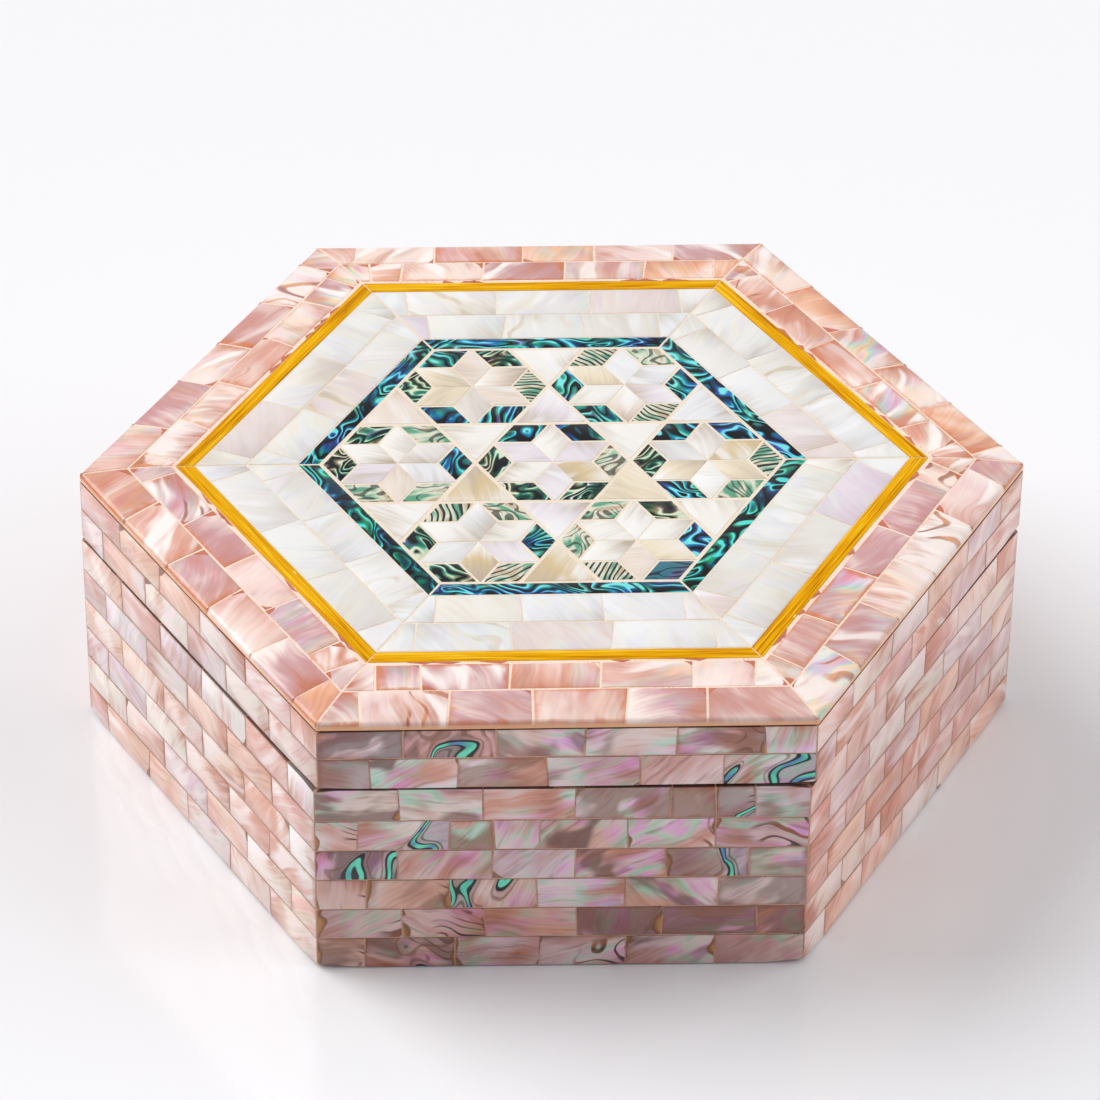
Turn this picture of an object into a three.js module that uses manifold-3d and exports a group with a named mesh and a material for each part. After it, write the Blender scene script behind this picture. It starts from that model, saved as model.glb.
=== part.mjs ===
// Hexagonal lidded box, veneered with mother-of-pearl, abalone shell and gold-coloured strips.
// Millimetres, +Z up. The origin is the middle of the underside. Two corners lie on the X axis,
// and the front side faces -Y. Each side is drawn as the front one and turned about Z.

import * as THREE from 'three';
import { mergeVertices } from 'three/addons/utils/BufferGeometryUtils.js';
import Module from 'manifold-3d';

const wasm = await Module();
wasm.setup();

// Driving dimensions
const SIDE_LENGTH = 110;
const HEIGHT = 72.2;
const BASE_TILES_TOP = 51.1;
const LID_TILES_BOTTOM = 52.1;
const BRICK_LENGTH = 19.8;

// Wooden carcasses
const FLOOR_THICKNESS = 6;
const LID_TOP_THICKNESS = 6;
const BASE_WALL = 8.5;
const LIP_THICKNESS = 2.5;
const LIP_RISE = 5.6;
const LIP_CLEARANCE = 1;
const RIM_ABOVE_TILES = 0.3;
const REST_GAP = 0.3;

// Shell veneer: tiles stand a little proud of the grout they are bedded in
const VENEER = 2.2;
const TILE_PROUD = 0.3;
const GLUE_LINE = 0.2;
const GROUT_JOINT = 0.45;
const CORNER_LINE = 0.5;
const PIECE_GAP = 0.3;
const MITRE_GAP = 0.18;
const MERGE_DISTANCE = 1e-4;

// Rings of the lid's top, each given by its distance out from the axis to a flat
const STRIP_OUTER = 75.6;
const STRIP_INNER = 72.1;
const ABALONE_OUTER = 51;
const ABALONE_INNER = 47.5;
const FIELD_RHOMB = 9;
const FIELD_JOINT = 0.8;
const STAR_JOINT = 0.3;

// The border falls away to the rim, as a top that was polished over its edge
const BORDER_MIDDLE_DROP = 0.5;
const BORDER_EDGE_DROP = 2;
const RIM_DROP = 2.9;
const RIM_ROUNDING = 0.95;
const RIM_BAND = 1.8;

// Rows of bricks
const BASE_ROWS = 6;
const LID_ROW_TOP = 61;
const BASE_TILES_LIFT = 0.4;
const ROW_STARTS = [18.7, 10.6];
const SPLIT_BRICKS = [3, 1];
const SHORTEST_BRICK = 5;
const UNEVENNESS = 2.4;
const BORDER_BRICK = 19.4;
const BORDER_OUTER_STARTS = [6.2, 19];
const BORDER_INNER_STARTS = [15.5, 22.5];
const BORDER_CORNER_PIECE = 4.5;
const WHITE_OUTER_TILE = 22.3;
const WHITE_INNER_TILE = 18.6;
const WHITE_JOINTS = [-1.5, -0.5, 0.5, 1.5];

// Seeds of the joints' unevenness, one for each kind of panel, with a step a side and a row
const BASE_SEED = 1228;
const LID_SEED = 3505;
const BORDER_SEED = 5000;
const WHITE_SEED = 7000;
const SIDE_STEP = 100;
const ROW_STEP = 10;
const WAVE_RATE = 12.9898;
const WAVE_HEIGHT = 43758.5453;

// The lid was set down slightly turned
const LID_TURN = THREE.MathUtils.degToRad(0.35);
const LID_SHIFT = 0.25;

// Derived sizes
const SIXTH = Math.PI / 3;
const TAN_30 = Math.tan(SIXTH / 2);
const COS_30 = Math.cos(SIXTH / 2);
const FACE = SIDE_LENGTH * COS_30;
const CARCASS_FACE = FACE - VENEER;
const BASE_INNER = CARCASS_FACE - BASE_WALL;
const LIP_OUTER = BASE_INNER + LIP_THICKNESS;
const LID_INNER = LIP_OUTER + LIP_CLEARANCE;
const BASE_RIM = BASE_TILES_TOP + RIM_ABOVE_TILES;
const LID_RIM = BASE_RIM + REST_GAP;
const VENEER_BOTTOM = HEIGHT - VENEER;
const LID_CARCASS_TOP = VENEER_BOTTOM - GLUE_LINE;
const RIM = HEIGHT - RIM_DROP;
const BORDER_MIDDLE = (STRIP_OUTER + FACE) / 2;
const LID_TILES_TOP = RIM - RIM_BAND - PIECE_GAP;

const SIDES = ['front', 'front_right', 'back_right', 'back', 'back_left', 'front_left'];
const STARS = ['right', 'back_right', 'back_left', 'left', 'front_left', 'front_right'];

// Finishes
const finish = (color, roughness, metalness) => (
  new THREE.MeshStandardMaterial({ color, roughness, metalness })
);
const FINISHES = {
  wood: () => finish(0x6b4a33, 0.6, 0),
  pinkShell: () => finish(0xd9a291, 0.22, 0),
  rosyShell: () => finish(0xc4a09c, 0.22, 0),
  whiteShell: () => finish(0xe6e0d6, 0.2, 0),
  starShell: () => finish(0xe0d8cc, 0.2, 0),
  abalone: () => finish(0x2c6f7c, 0.18, 0),
  goldStrip: () => finish(0xd99a1c, 0.3, 0.6),
};

// A closed mesh as a solid for joining, and back again
function toSolid(geometry) {
  const bare = geometry.clone();
  bare.deleteAttribute('normal');
  bare.deleteAttribute('uv');
  const merged = mergeVertices(bare, MERGE_DISTANCE);
  return new wasm.Manifold(new wasm.Mesh({
    numProp: 3,
    vertProperties: new Float32Array(merged.attributes.position.array),
    triVerts: new Uint32Array(merged.index.array),
  }));
}

function toGeometry(solid) {
  const mesh = solid.getMesh();
  const geometry = new THREE.BufferGeometry();
  geometry.setAttribute('position', new THREE.BufferAttribute(mesh.vertProperties, 3));
  geometry.setIndex(new THREE.BufferAttribute(mesh.triVerts, 1));
  geometry.computeVertexNormals();
  return geometry;
}

function fuse(geometries) {
  const solids = geometries.map(toSolid);
  return toGeometry(solids.reduce((whole, solid) => whole.add(solid)));
}

// A bar along the front side. Its section is a list of [distance out, height], and each end is
// a function that gives the place along the side for a distance out.
function bar(section, leftEnd, rightEnd) {
  const shape = new THREE.Shape(section.map(([out, height]) => new THREE.Vector2(-out, height)));
  const geometry = new THREE.ExtrudeGeometry(shape, { depth: 1, bevelEnabled: false });
  const position = geometry.attributes.position;
  for (let i = 0; i < position.count; i += 1) {
    const inward = position.getX(i);
    const height = position.getY(i);
    const end = position.getZ(i) < 0.5 ? leftEnd : rightEnd;
    position.setXYZ(i, end(-inward), inward, height);
  }
  return geometry;
}

const leftMitre = (setBack) => (out) => setBack - out * TAN_30;
const rightMitre = (setBack) => (out) => out * TAN_30 - setBack;
const square = (along) => () => along;

// A six-sided ring or slab from a section of [distance out to a flat, height]
function sixSided(section) {
  const points = section.map(([out, height]) => new THREE.Vector2(out / COS_30, height));
  const geometry = new THREE.LatheGeometry(points, 6, SIXTH / 2);
  geometry.rotateX(Math.PI / 2);
  return geometry;
}

// A repeatable unevenness between -0.5 and 0.5, as hand-cut bricks have
function unevenness(seed) {
  const wave = Math.sin(seed * WAVE_RATE) * WAVE_HEIGHT;
  return wave - Math.floor(wave) - 0.5;
}

// The upright joints along one row, with an extra one in the middle of a split brick
function rowJoints(halfLength, start, brick, seed, splitBrick) {
  const last = halfLength - SHORTEST_BRICK;
  const count = Math.ceil((last - start + halfLength) / brick);
  const joints = Array.from({ length: count }, (_, k) => {
    const joint = start - halfLength + k * brick + UNEVENNESS * unevenness(seed + k);
    return k === splitBrick ? [joint, joint + brick / 2] : [joint];
  });
  return joints.flat().filter((joint) => joint < last);
}

// The bricks of one row, cut at its joints, with mitred ends at the corners
function rowOfBricks(section, joints) {
  const halfJoint = GROUT_JOINT / 2;
  const lefts = [leftMitre(CORNER_LINE), ...joints.map((joint) => square(joint + halfJoint))];
  const rights = [...joints.map((joint) => square(joint - halfJoint)), rightMitre(CORNER_LINE)];
  return lefts.map((left, i) => bar(section, left, rights[i]));
}

// A panel of bricks on one upright side, from row heights that run from top to bottom
function sidePanel(levels, seed, splitBricks) {
  const bedFace = FACE - TILE_PROUD;
  const back = CARCASS_FACE + GLUE_LINE;
  const top = levels[0];
  const bottom = levels[levels.length - 1];
  const bedSection = [[back, bottom], [bedFace, bottom], [bedFace, top], [back, top]];
  const bed = bar(bedSection, leftMitre(MITRE_GAP), rightMitre(MITRE_GAP));
  const tileBack = (back + bedFace) / 2;
  const bricks = levels.slice(1).flatMap((low, row) => {
    const high = levels[row];
    const z0 = row === levels.length - 2 ? low : low + GROUT_JOINT / 2;
    const z1 = row === 0 ? high : high - GROUT_JOINT / 2;
    const section = [[tileBack, z0], [FACE, z0], [FACE, z1], [tileBack, z1]];
    const start = ROW_STARTS[row % 2];
    const rowSeed = seed + ROW_STEP * row;
    const joints = rowJoints(SIDE_LENGTH / 2, start, BRICK_LENGTH, rowSeed, splitBricks[row]);
    return rowOfBricks(section, joints);
  });
  return fuse([bed, ...bricks]);
}

function basePanel(side) {
  const bottom = BASE_TILES_LIFT;
  const rowHeight = (BASE_TILES_TOP - bottom) / BASE_ROWS;
  const levels = Array.from({ length: BASE_ROWS + 1 }, (_, i) => BASE_TILES_TOP - i * rowHeight);
  const splitBricks = side === 0 ? SPLIT_BRICKS : [];
  return sidePanel(levels, BASE_SEED + SIDE_STEP * side, splitBricks);
}

function lidPanel(side) {
  return sidePanel([LID_TILES_TOP, LID_ROW_TOP, LID_TILES_BOTTOM], LID_SEED + SIDE_STEP * side, []);
}

// The pink border of the lid's top: two rows that fall away towards the rim
function borderPanel(side) {
  const middle = HEIGHT - BORDER_MIDDLE_DROP;
  const edge = HEIGHT - BORDER_EDGE_DROP;
  const inner = STRIP_OUTER + PIECE_GAP / 2;
  const shoulder = FACE - RIM_ROUNDING;
  const bedFace = FACE - TILE_PROUD;
  const under = RIM - RIM_BAND;
  const middleUnder = middle - VENEER;
  const bedSection = [
    [inner, VENEER_BOTTOM],
    [BORDER_MIDDLE, middleUnder],
    [bedFace, under],
    [bedFace, RIM - TILE_PROUD],
    [shoulder, edge - TILE_PROUD],
    [BORDER_MIDDLE, middle - TILE_PROUD],
    [inner, HEIGHT - TILE_PROUD],
  ];
  const bed = bar(bedSection, leftMitre(MITRE_GAP), rightMitre(MITRE_GAP));
  const halfJoint = GROUT_JOINT / 2;
  const innerSection = [
    [inner, HEIGHT - VENEER / 2],
    [BORDER_MIDDLE - halfJoint, middle - VENEER / 2],
    [BORDER_MIDDLE - halfJoint, middle],
    [inner, HEIGHT],
  ];
  const outerSection = [
    [BORDER_MIDDLE + halfJoint, middle - VENEER / 2],
    [FACE, under + TILE_PROUD],
    [FACE, RIM],
    [shoulder, edge],
    [BORDER_MIDDLE + halfJoint, middle],
  ];
  const seed = BORDER_SEED + SIDE_STEP * side;
  const innerHalf = (inner + BORDER_MIDDLE) / 2 * TAN_30;
  const outerHalf = (FACE + BORDER_MIDDLE) / 2 * TAN_30;
  const innerStart = BORDER_INNER_STARTS[side % 2];
  const outerStart = BORDER_OUTER_STARTS[side % 2];
  const cornerJoint = innerHalf - BORDER_CORNER_PIECE;
  const innerJoints = rowJoints(innerHalf, innerStart, BORDER_BRICK, seed);
  const outerJoints = rowJoints(outerHalf, outerStart, BORDER_BRICK, seed + ROW_STEP);
  return fuse([
    bed,
    ...rowOfBricks(innerSection, [-cornerJoint, ...innerJoints, cornerJoint]),
    ...rowOfBricks(outerSection, outerJoints),
  ]);
}

// The white ring: two flat rows of three long tiles, with a short one at each mitre
function whitePanel(side) {
  const inner = ABALONE_OUTER + PIECE_GAP / 2;
  const outer = STRIP_INNER - PIECE_GAP / 2;
  const middle = (inner + outer) / 2;
  const bedTop = HEIGHT - TILE_PROUD;
  const bedSection = [[inner, VENEER_BOTTOM], [outer, VENEER_BOTTOM], [outer, bedTop], [inner, bedTop]];
  const bed = bar(bedSection, leftMitre(MITRE_GAP), rightMitre(MITRE_GAP));
  const halfJoint = GROUT_JOINT / 2;
  const tileBottom = HEIGHT - VENEER / 2;
  const rows = [
    { from: inner, to: middle - halfJoint, tile: WHITE_INNER_TILE },
    { from: middle + halfJoint, to: outer, tile: WHITE_OUTER_TILE },
  ];
  const tiles = rows.flatMap(({ from, to, tile }, row) => {
    const section = [[from, tileBottom], [to, tileBottom], [to, HEIGHT], [from, HEIGHT]];
    const seed = WHITE_SEED + SIDE_STEP * side + ROW_STEP * row;
    const joints = WHITE_JOINTS.map((k) => k * tile + unevenness(seed + k));
    return rowOfBricks(section, joints);
  });
  return fuse([bed, ...tiles]);
}

// A plain strip of one material, mitred at both ends
function strip(inner, outer) {
  const from = inner + PIECE_GAP / 2;
  const to = outer - PIECE_GAP / 2;
  const section = [[from, VENEER_BOTTOM], [to, VENEER_BOTTOM], [to, HEIGHT], [from, HEIGHT]];
  return bar(section, leftMitre(MITRE_GAP), rightMitre(MITRE_GAP));
}

// Plan outlines for the star field. An outline with an inscribed circle is drawn in evenly by
// scaling it about its middle.
const polar = (radius, sixths) => new THREE.Vector2(
  radius * Math.cos(sixths * SIXTH),
  radius * Math.sin(sixths * SIXTH),
);

function drawnIn(outline, inRadius, amount) {
  const middle = outline.reduce((sum, point) => sum.add(point), new THREE.Vector2());
  middle.divideScalar(outline.length);
  return outline.map((point) => point.clone().lerp(middle, amount / inRadius));
}

function plate(outline, bottom, top) {
  const geometry = new THREE.ExtrudeGeometry(new THREE.Shape(outline), {
    depth: top - bottom,
    bevelEnabled: false,
  });
  geometry.translate(0, 0, bottom);
  return geometry;
}

// One star: six nacre rhombs about a point, and six abalone rhombs in its notches
function starPlate() {
  const rhombRadius = FIELD_RHOMB * COS_30 / 2;
  const outline = Array.from({ length: 6 }, (_, k) => polar(2 * FIELD_RHOMB, k));
  const bedOutline = drawnIn(outline, 2 * FIELD_RHOMB * COS_30, PIECE_GAP / 2);
  const pieces = [plate(bedOutline, VENEER_BOTTOM, HEIGHT - TILE_PROUD)];
  const tip = FIELD_RHOMB * Math.sqrt(3);
  for (let k = 0; k < 6; k += 1) {
    const ray = [
      new THREE.Vector2(),
      polar(FIELD_RHOMB, k),
      polar(tip, k + 0.5),
      polar(FIELD_RHOMB, k + 1),
    ];
    const notch = [
      polar(FIELD_RHOMB, k),
      polar(tip, k - 0.5),
      polar(2 * FIELD_RHOMB, k),
      polar(tip, k + 0.5),
    ];
    const tileBottom = HEIGHT - VENEER / 2;
    pieces.push(plate(drawnIn(ray, rhombRadius, STAR_JOINT / 2), tileBottom, HEIGHT));
    pieces.push(plate(drawnIn(notch, rhombRadius, FIELD_JOINT / 2), tileBottom, HEIGHT));
  }
  return fuse(pieces);
}

// One triangle between the stars, pointing along +Y from its middle
function trianglePlate() {
  const inRadius = FIELD_RHOMB * TAN_30;
  const outline = [0, 2, 4].map((k) => polar(2 * inRadius, k + 1.5));
  return fuse([
    plate(drawnIn(outline, inRadius, PIECE_GAP / 2), VENEER_BOTTOM, HEIGHT - TILE_PROUD),
    plate(drawnIn(outline, inRadius, FIELD_JOINT / 2), HEIGHT - VENEER / 2, HEIGHT),
  ]);
}

// The base: a hollow case with a floor, and a lip inside the rim that keeps the lid in place
function baseCarcass() {
  return sixSided([
    [0, 0],
    [CARCASS_FACE, 0],
    [CARCASS_FACE, BASE_RIM],
    [LIP_OUTER, BASE_RIM],
    [LIP_OUTER, BASE_RIM + LIP_RISE],
    [BASE_INNER, BASE_RIM + LIP_RISE],
    [BASE_INNER, FLOOR_THICKNESS],
    [0, FLOOR_THICKNESS],
  ]);
}

// The lid: a hollow cap whose top falls away at the edge under the border
function lidCarcass() {
  const underside = LID_CARCASS_TOP - LID_TOP_THICKNESS;
  return sixSided([
    [0, underside],
    [LID_INNER, underside],
    [LID_INNER, LID_RIM],
    [CARCASS_FACE, LID_RIM],
    [CARCASS_FACE, RIM - RIM_BAND],
    [BORDER_MIDDLE, LID_CARCASS_TOP - BORDER_MIDDLE_DROP],
    [STRIP_OUTER, LID_CARCASS_TOP],
    [0, LID_CARCASS_TOP],
  ]);
}

function piece(name, geometry, material) {
  const mesh = new THREE.Mesh(geometry, material);
  mesh.name = name;
  return mesh;
}

// One group a side, turned about Z, holds what is drawn on that side
function sideGroup(side, pieces) {
  const group = new THREE.Group();
  group.rotation.z = side * SIXTH;
  group.add(...pieces);
  return group;
}

function makeBase() {
  const base = new THREE.Group();
  base.add(piece('base_carcass', baseCarcass(), FINISHES.wood()));
  SIDES.forEach((name, side) => {
    base.add(sideGroup(side, [piece(`base_tiles_${name}`, basePanel(side), FINISHES.rosyShell())]));
  });
  return base;
}

function makeField() {
  const field = new THREE.Group();
  field.add(piece('star_centre', starPlate(), FINISHES.starShell()));
  STARS.forEach((name, k) => {
    const star = piece(`star_${name}`, starPlate(), FINISHES.starShell());
    const place = polar(4 * FIELD_RHOMB, k);
    star.position.set(place.x, place.y, 0);
    field.add(star);
  });
  const innerRadius = 4 * FIELD_RHOMB * TAN_30;
  STARS.forEach((name, k) => {
    const angle = k + 0.5;
    const turns = [
      { label: 'inner', radius: innerRadius, turn: angle * SIXTH - Math.PI / 2 },
      { label: 'outer', radius: 2 * innerRadius, turn: angle * SIXTH + Math.PI / 2 },
    ];
    turns.forEach(({ label, radius, turn }) => {
      const triangle = piece(`triangle_${label}_${k + 1}`, trianglePlate(), FINISHES.whiteShell());
      const place = polar(radius, angle);
      triangle.position.set(place.x, place.y, 0);
      triangle.rotation.z = turn;
      field.add(triangle);
    });
  });
  return field;
}

function makeLid() {
  const lid = new THREE.Group();
  lid.rotation.z = LID_TURN;
  lid.position.x = LID_SHIFT;
  lid.add(piece('lid_carcass', lidCarcass(), FINISHES.wood()));
  SIDES.forEach((name, side) => {
    lid.add(sideGroup(side, [
      piece(`lid_tiles_${name}`, lidPanel(side), FINISHES.rosyShell()),
      piece(`border_tiles_${name}`, borderPanel(side), FINISHES.pinkShell()),
      piece(`gold_strip_${name}`, strip(STRIP_INNER, STRIP_OUTER), FINISHES.goldStrip()),
      piece(`white_tiles_${name}`, whitePanel(side), FINISHES.whiteShell()),
      piece(`abalone_strip_${name}`, strip(ABALONE_INNER, ABALONE_OUTER), FINISHES.abalone()),
    ]));
  });
  lid.add(makeField());
  return lid;
}

const box = new THREE.Group();
box.add(makeBase(), makeLid());

export default box;
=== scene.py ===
"""Hexagonal lidded box in mother-of-pearl: its shell tiles, strips, grout and wood, on the CAD frame.

Lengths of tiles and joints are in millimetres, as a maker gives them, and MM turns them into metres.
Each of the six sides is laid out in its own flat frame: along runs to the right as the side is
seen from outside, and across runs up an upright side, or outwards on the lid's top.
"""

import math
import random

import bpy
from bpy.props import FloatProperty, FloatVectorProperty, IntProperty, PointerProperty
from mathutils import Matrix, Vector


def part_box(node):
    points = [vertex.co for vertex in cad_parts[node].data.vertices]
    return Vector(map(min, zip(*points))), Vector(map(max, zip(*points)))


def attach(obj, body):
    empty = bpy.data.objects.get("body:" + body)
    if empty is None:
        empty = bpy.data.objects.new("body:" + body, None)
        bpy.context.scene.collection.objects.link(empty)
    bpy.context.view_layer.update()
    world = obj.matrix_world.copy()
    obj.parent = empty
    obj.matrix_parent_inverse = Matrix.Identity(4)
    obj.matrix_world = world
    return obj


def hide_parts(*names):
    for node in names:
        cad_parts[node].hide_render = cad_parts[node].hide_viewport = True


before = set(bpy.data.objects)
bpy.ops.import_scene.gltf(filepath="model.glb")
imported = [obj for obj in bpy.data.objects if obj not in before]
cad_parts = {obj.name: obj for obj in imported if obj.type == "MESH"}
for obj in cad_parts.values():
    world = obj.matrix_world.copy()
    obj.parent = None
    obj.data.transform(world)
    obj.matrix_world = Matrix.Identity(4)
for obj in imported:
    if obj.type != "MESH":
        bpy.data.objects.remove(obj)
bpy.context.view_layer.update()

bl_info = {
    "name": "Mother-of-pearl box",
    "version": (1, 0, 0),
    "blender": (4, 5, 0),
    "location": "View3D > Sidebar > Shell box",
    "description": "Lays shell tiles, strips and grout on a six-sided lidded box",
    "category": "Add Mesh",
}

MM = 0.001
SIXTH = math.pi / 3
TAN_30 = math.tan(SIXTH / 2)
COS_30 = math.cos(SIXTH / 2)
ROOT_3 = math.sqrt(3)

SIDES = ("front", "front_right", "back_right", "back", "back_left", "front_left")
STARS = ("centre", "right", "back_right", "back_left", "left", "front_left", "front_right")


def low_mm(node, axis):
    """The lowest coordinate of a CAD node on one axis, in millimetres."""
    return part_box(node)[0][axis] / MM


def high_mm(node, axis):
    """The highest coordinate of a CAD node on one axis, in millimetres."""
    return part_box(node)[1][axis] / MM


# Heights and distances read from the frame
FACE = -low_mm("base_tiles_front", 1)
SIDE_HALF = FACE * TAN_30
BASE_BOTTOM = low_mm("base_tiles_front", 2)
BASE_TOP = high_mm("base_tiles_front", 2)
LID_BOTTOM = low_mm("lid_tiles_front", 2)
LID_TOP = high_mm("lid_tiles_front", 2)
HEIGHT = high_mm("gold_strip_front", 2)
VENEER = HEIGHT - low_mm("gold_strip_front", 2)
BORDER_UNDER = low_mm("border_tiles_front", 2)
LID_TURN = math.radians(0.35)
LID_SHIFT = 0.25

# Rings of the lid's top, by their distance out to a flat
STRIP_OUTER = 75.6
STRIP_INNER = 72.1
ABALONE_OUTER = 51.0
ABALONE_INNER = 47.5
FIELD_RHOMB = 9.0
BORDER_MIDDLE = (STRIP_OUTER + FACE) / 2
BORDER_DROP = 2.0
BORDER_CURVE = 2.0

# Rows of bricks, as in the solids
BASE_ROWS = 6
LID_ROW_TOP = 60.4
LID_RISE = 0.8
BASE_RISE = 0.3
ROW_STARTS = (18.7, 10.6)
SPLIT_BRICKS = (3, 1)
BRICK_LENGTH = 19.8
SHORTEST_BRICK = 5.0
JOINT_SHIFT = 2.4
BORDER_BRICK = 19.4
BORDER_OUTER_STARTS = (6.2, 19.0)
BORDER_INNER_STARTS = (15.5, 22.5)
BORDER_CORNER_PIECE = 4.5
WHITE_TILES = (18.6, 22.3)
WHITE_JOINTS = (-1.5, -0.5, 0.5, 1.5)
BASE_SEED = 1228
LID_SEED = 3505
BORDER_SEED = 5000
WHITE_SEED = 7000
BORDER_SHEETS = (301, 302, 303)
GOLD_SHEET = 401
ABALONE_SHEET = 503
WHITE_SHEETS = (601, 602)
STAR_SHEETS = (701, 704, 703)
FIELD_SHEET = 705
SIDE_STEP = 100
ROW_STEP = 10
WAVE_RATE = 12.9898
WAVE_HEIGHT = 43758.5453

# Tiles, grout and putty of the scene
BRICK_THICKNESS = 1.2
BRICK_BACK = FACE - BRICK_THICKNESS
SIDE_BED = FACE - 2.0
TILE_THICKNESS = 1.4
TILE_LEVEL = HEIGHT - TILE_THICKNESS
BRICK_UNEVENNESS = 0.03
TILE_UNEVENNESS = 0.02
SIDE_PUTTY_DEPTH = 0.03
BORDER_PUTTY_DEPTH = 0.04
CORNER_LINE = 0.12
MITRE_JOINT = 0.35
BORDER_BAND = 1.25
STRIP_MITRE = 0.14
ABALONE_MITRE = 0.32
BED_MITRE = 0.02
AT_EDGE = 0.01

# How far strips and beds reach past or stay short of the rings' sizes
STRIP_EXTRA = 0.15
ABALONE_EXTRA = (0.3, 0.2)
WHITE_INSETS = (0.3, 0.2)
WHITE_BED_INSET = 0.22
BORDER_BED_INSET = 0.12
BED_INSET = 0.05
FIELD_BED_EXTRA = 0.1
LENS_NEAR = STRIP_OUTER + 0.22

# The lowest rows rise towards the corners, and the base's top row dips there
CORNER_RUN = 8.0
CORNER_RISE = 1.0
LID_CORNER_RISE = 0.35
RIM_DIP = 0.5

# Hand work: how far corners stray and joints lean, and how often and how far corners are broken
SIDE_STRAY = 0.07
BORDER_STRAY = 0.14
WHITE_STRAY = 0.08
SIDE_LEAN = 0.25
BORDER_LEAN = 0.5
WHITE_LEAN = 0.6
SIDE_CHIPS = 0.24
SIDE_CHIP_REACH = (0.6, 3.0)
BORDER_CHIPS = 0.55
MITRE_CHIPS = 0.8
BORDER_CHIP_REACH = (0.7, 3.4)
LENSES_PER_SIDE = 6
WAVER_STEPS = 9
INNER_WAVER = 0.07
OUTER_WAVER = 0.09
STAR_TURN = math.radians(1.2)
STAR_SLIDE = 0.1

# Shell: how often a brick has an eye, growth lines or shine, the mean and spread of its grain's
# angle, and how rosy or green it is from the front round to the front left
EYE_CHANCE = 0.17
RINGED_CHANCE = 0.42
LINED_CHANCE = 0.12
SHINY_CHANCE = 0.1
SIDE_GRAIN = (0.5, 0.5)
BORDER_GRAIN = (1.1, 0.6)
WHITE_GRAIN = (1.2, 0.5)
ABALONE_GRAIN = (0.2, 0.2)
ROSINESS = (0.0, 0.95, 0.7, 0.5, 0.35, 0.3)
GREEN_SHARES = (0.1, 0.8, 0.0, 0.0, 0.2, 0.9)

# Edges: marks of how far they are rounded, and what counts as sharp
RIM_ROUNDING = 0.9
CORNER_SHARE = 0.4
RIM_MARK = 1.0
CORNER_MARK = 0.9
MARK_MARGIN = 0.01
SHARP_ANGLE = math.radians(30)
SMOOTH_ANGLE = math.radians(33)
WELD = 0.001


def unevenness(seed):
    """The same repeatable unevenness as in the solids, between -0.5 and 0.5."""
    wave = math.sin(seed * WAVE_RATE) * WAVE_HEIGHT
    return wave - math.floor(wave) - 0.5


def row_joints(half, start, brick, seed, split=None):
    """Where the upright joints of a row lie, with one more in the middle of a split brick."""
    last = half - SHORTEST_BRICK
    joints = []
    for k in range(math.ceil((last - start + half) / brick)):
        joint = start - half + k * brick + JOINT_SHIFT * unevenness(seed + k)
        joints.append(joint)
        if k == split:
            joints.append(joint + brick / 2)
    return [joint for joint in joints if joint < last]


def srgb(red, green, blue):
    """A colour given as 0 to 255 screen values, as linear values with alpha."""
    def linear(value):
        value /= 255
        return value / 12.92 if value <= 0.04045 else ((value + 0.055) / 1.055) ** 2.4

    return (linear(red), linear(green), linear(blue), 1.0)


# Sheets of flat outlines, which Geometry Nodes raise into plates
COLOUR_MARKS = ("tile_random", "tile_look")
FIELD_OF_KIND = {"FLOAT": "value", "FLOAT_VECTOR": "vector", "FLOAT_COLOR": "color"}


def store(mesh, name, kind, domain, values):
    """Stores one attribute on a mesh."""
    attribute = mesh.attributes.new(name, kind, domain)
    flat = values if kind == "FLOAT" else [number for value in values for number in value]
    attribute.data.foreach_set(FIELD_OF_KIND[kind], flat)


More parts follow.
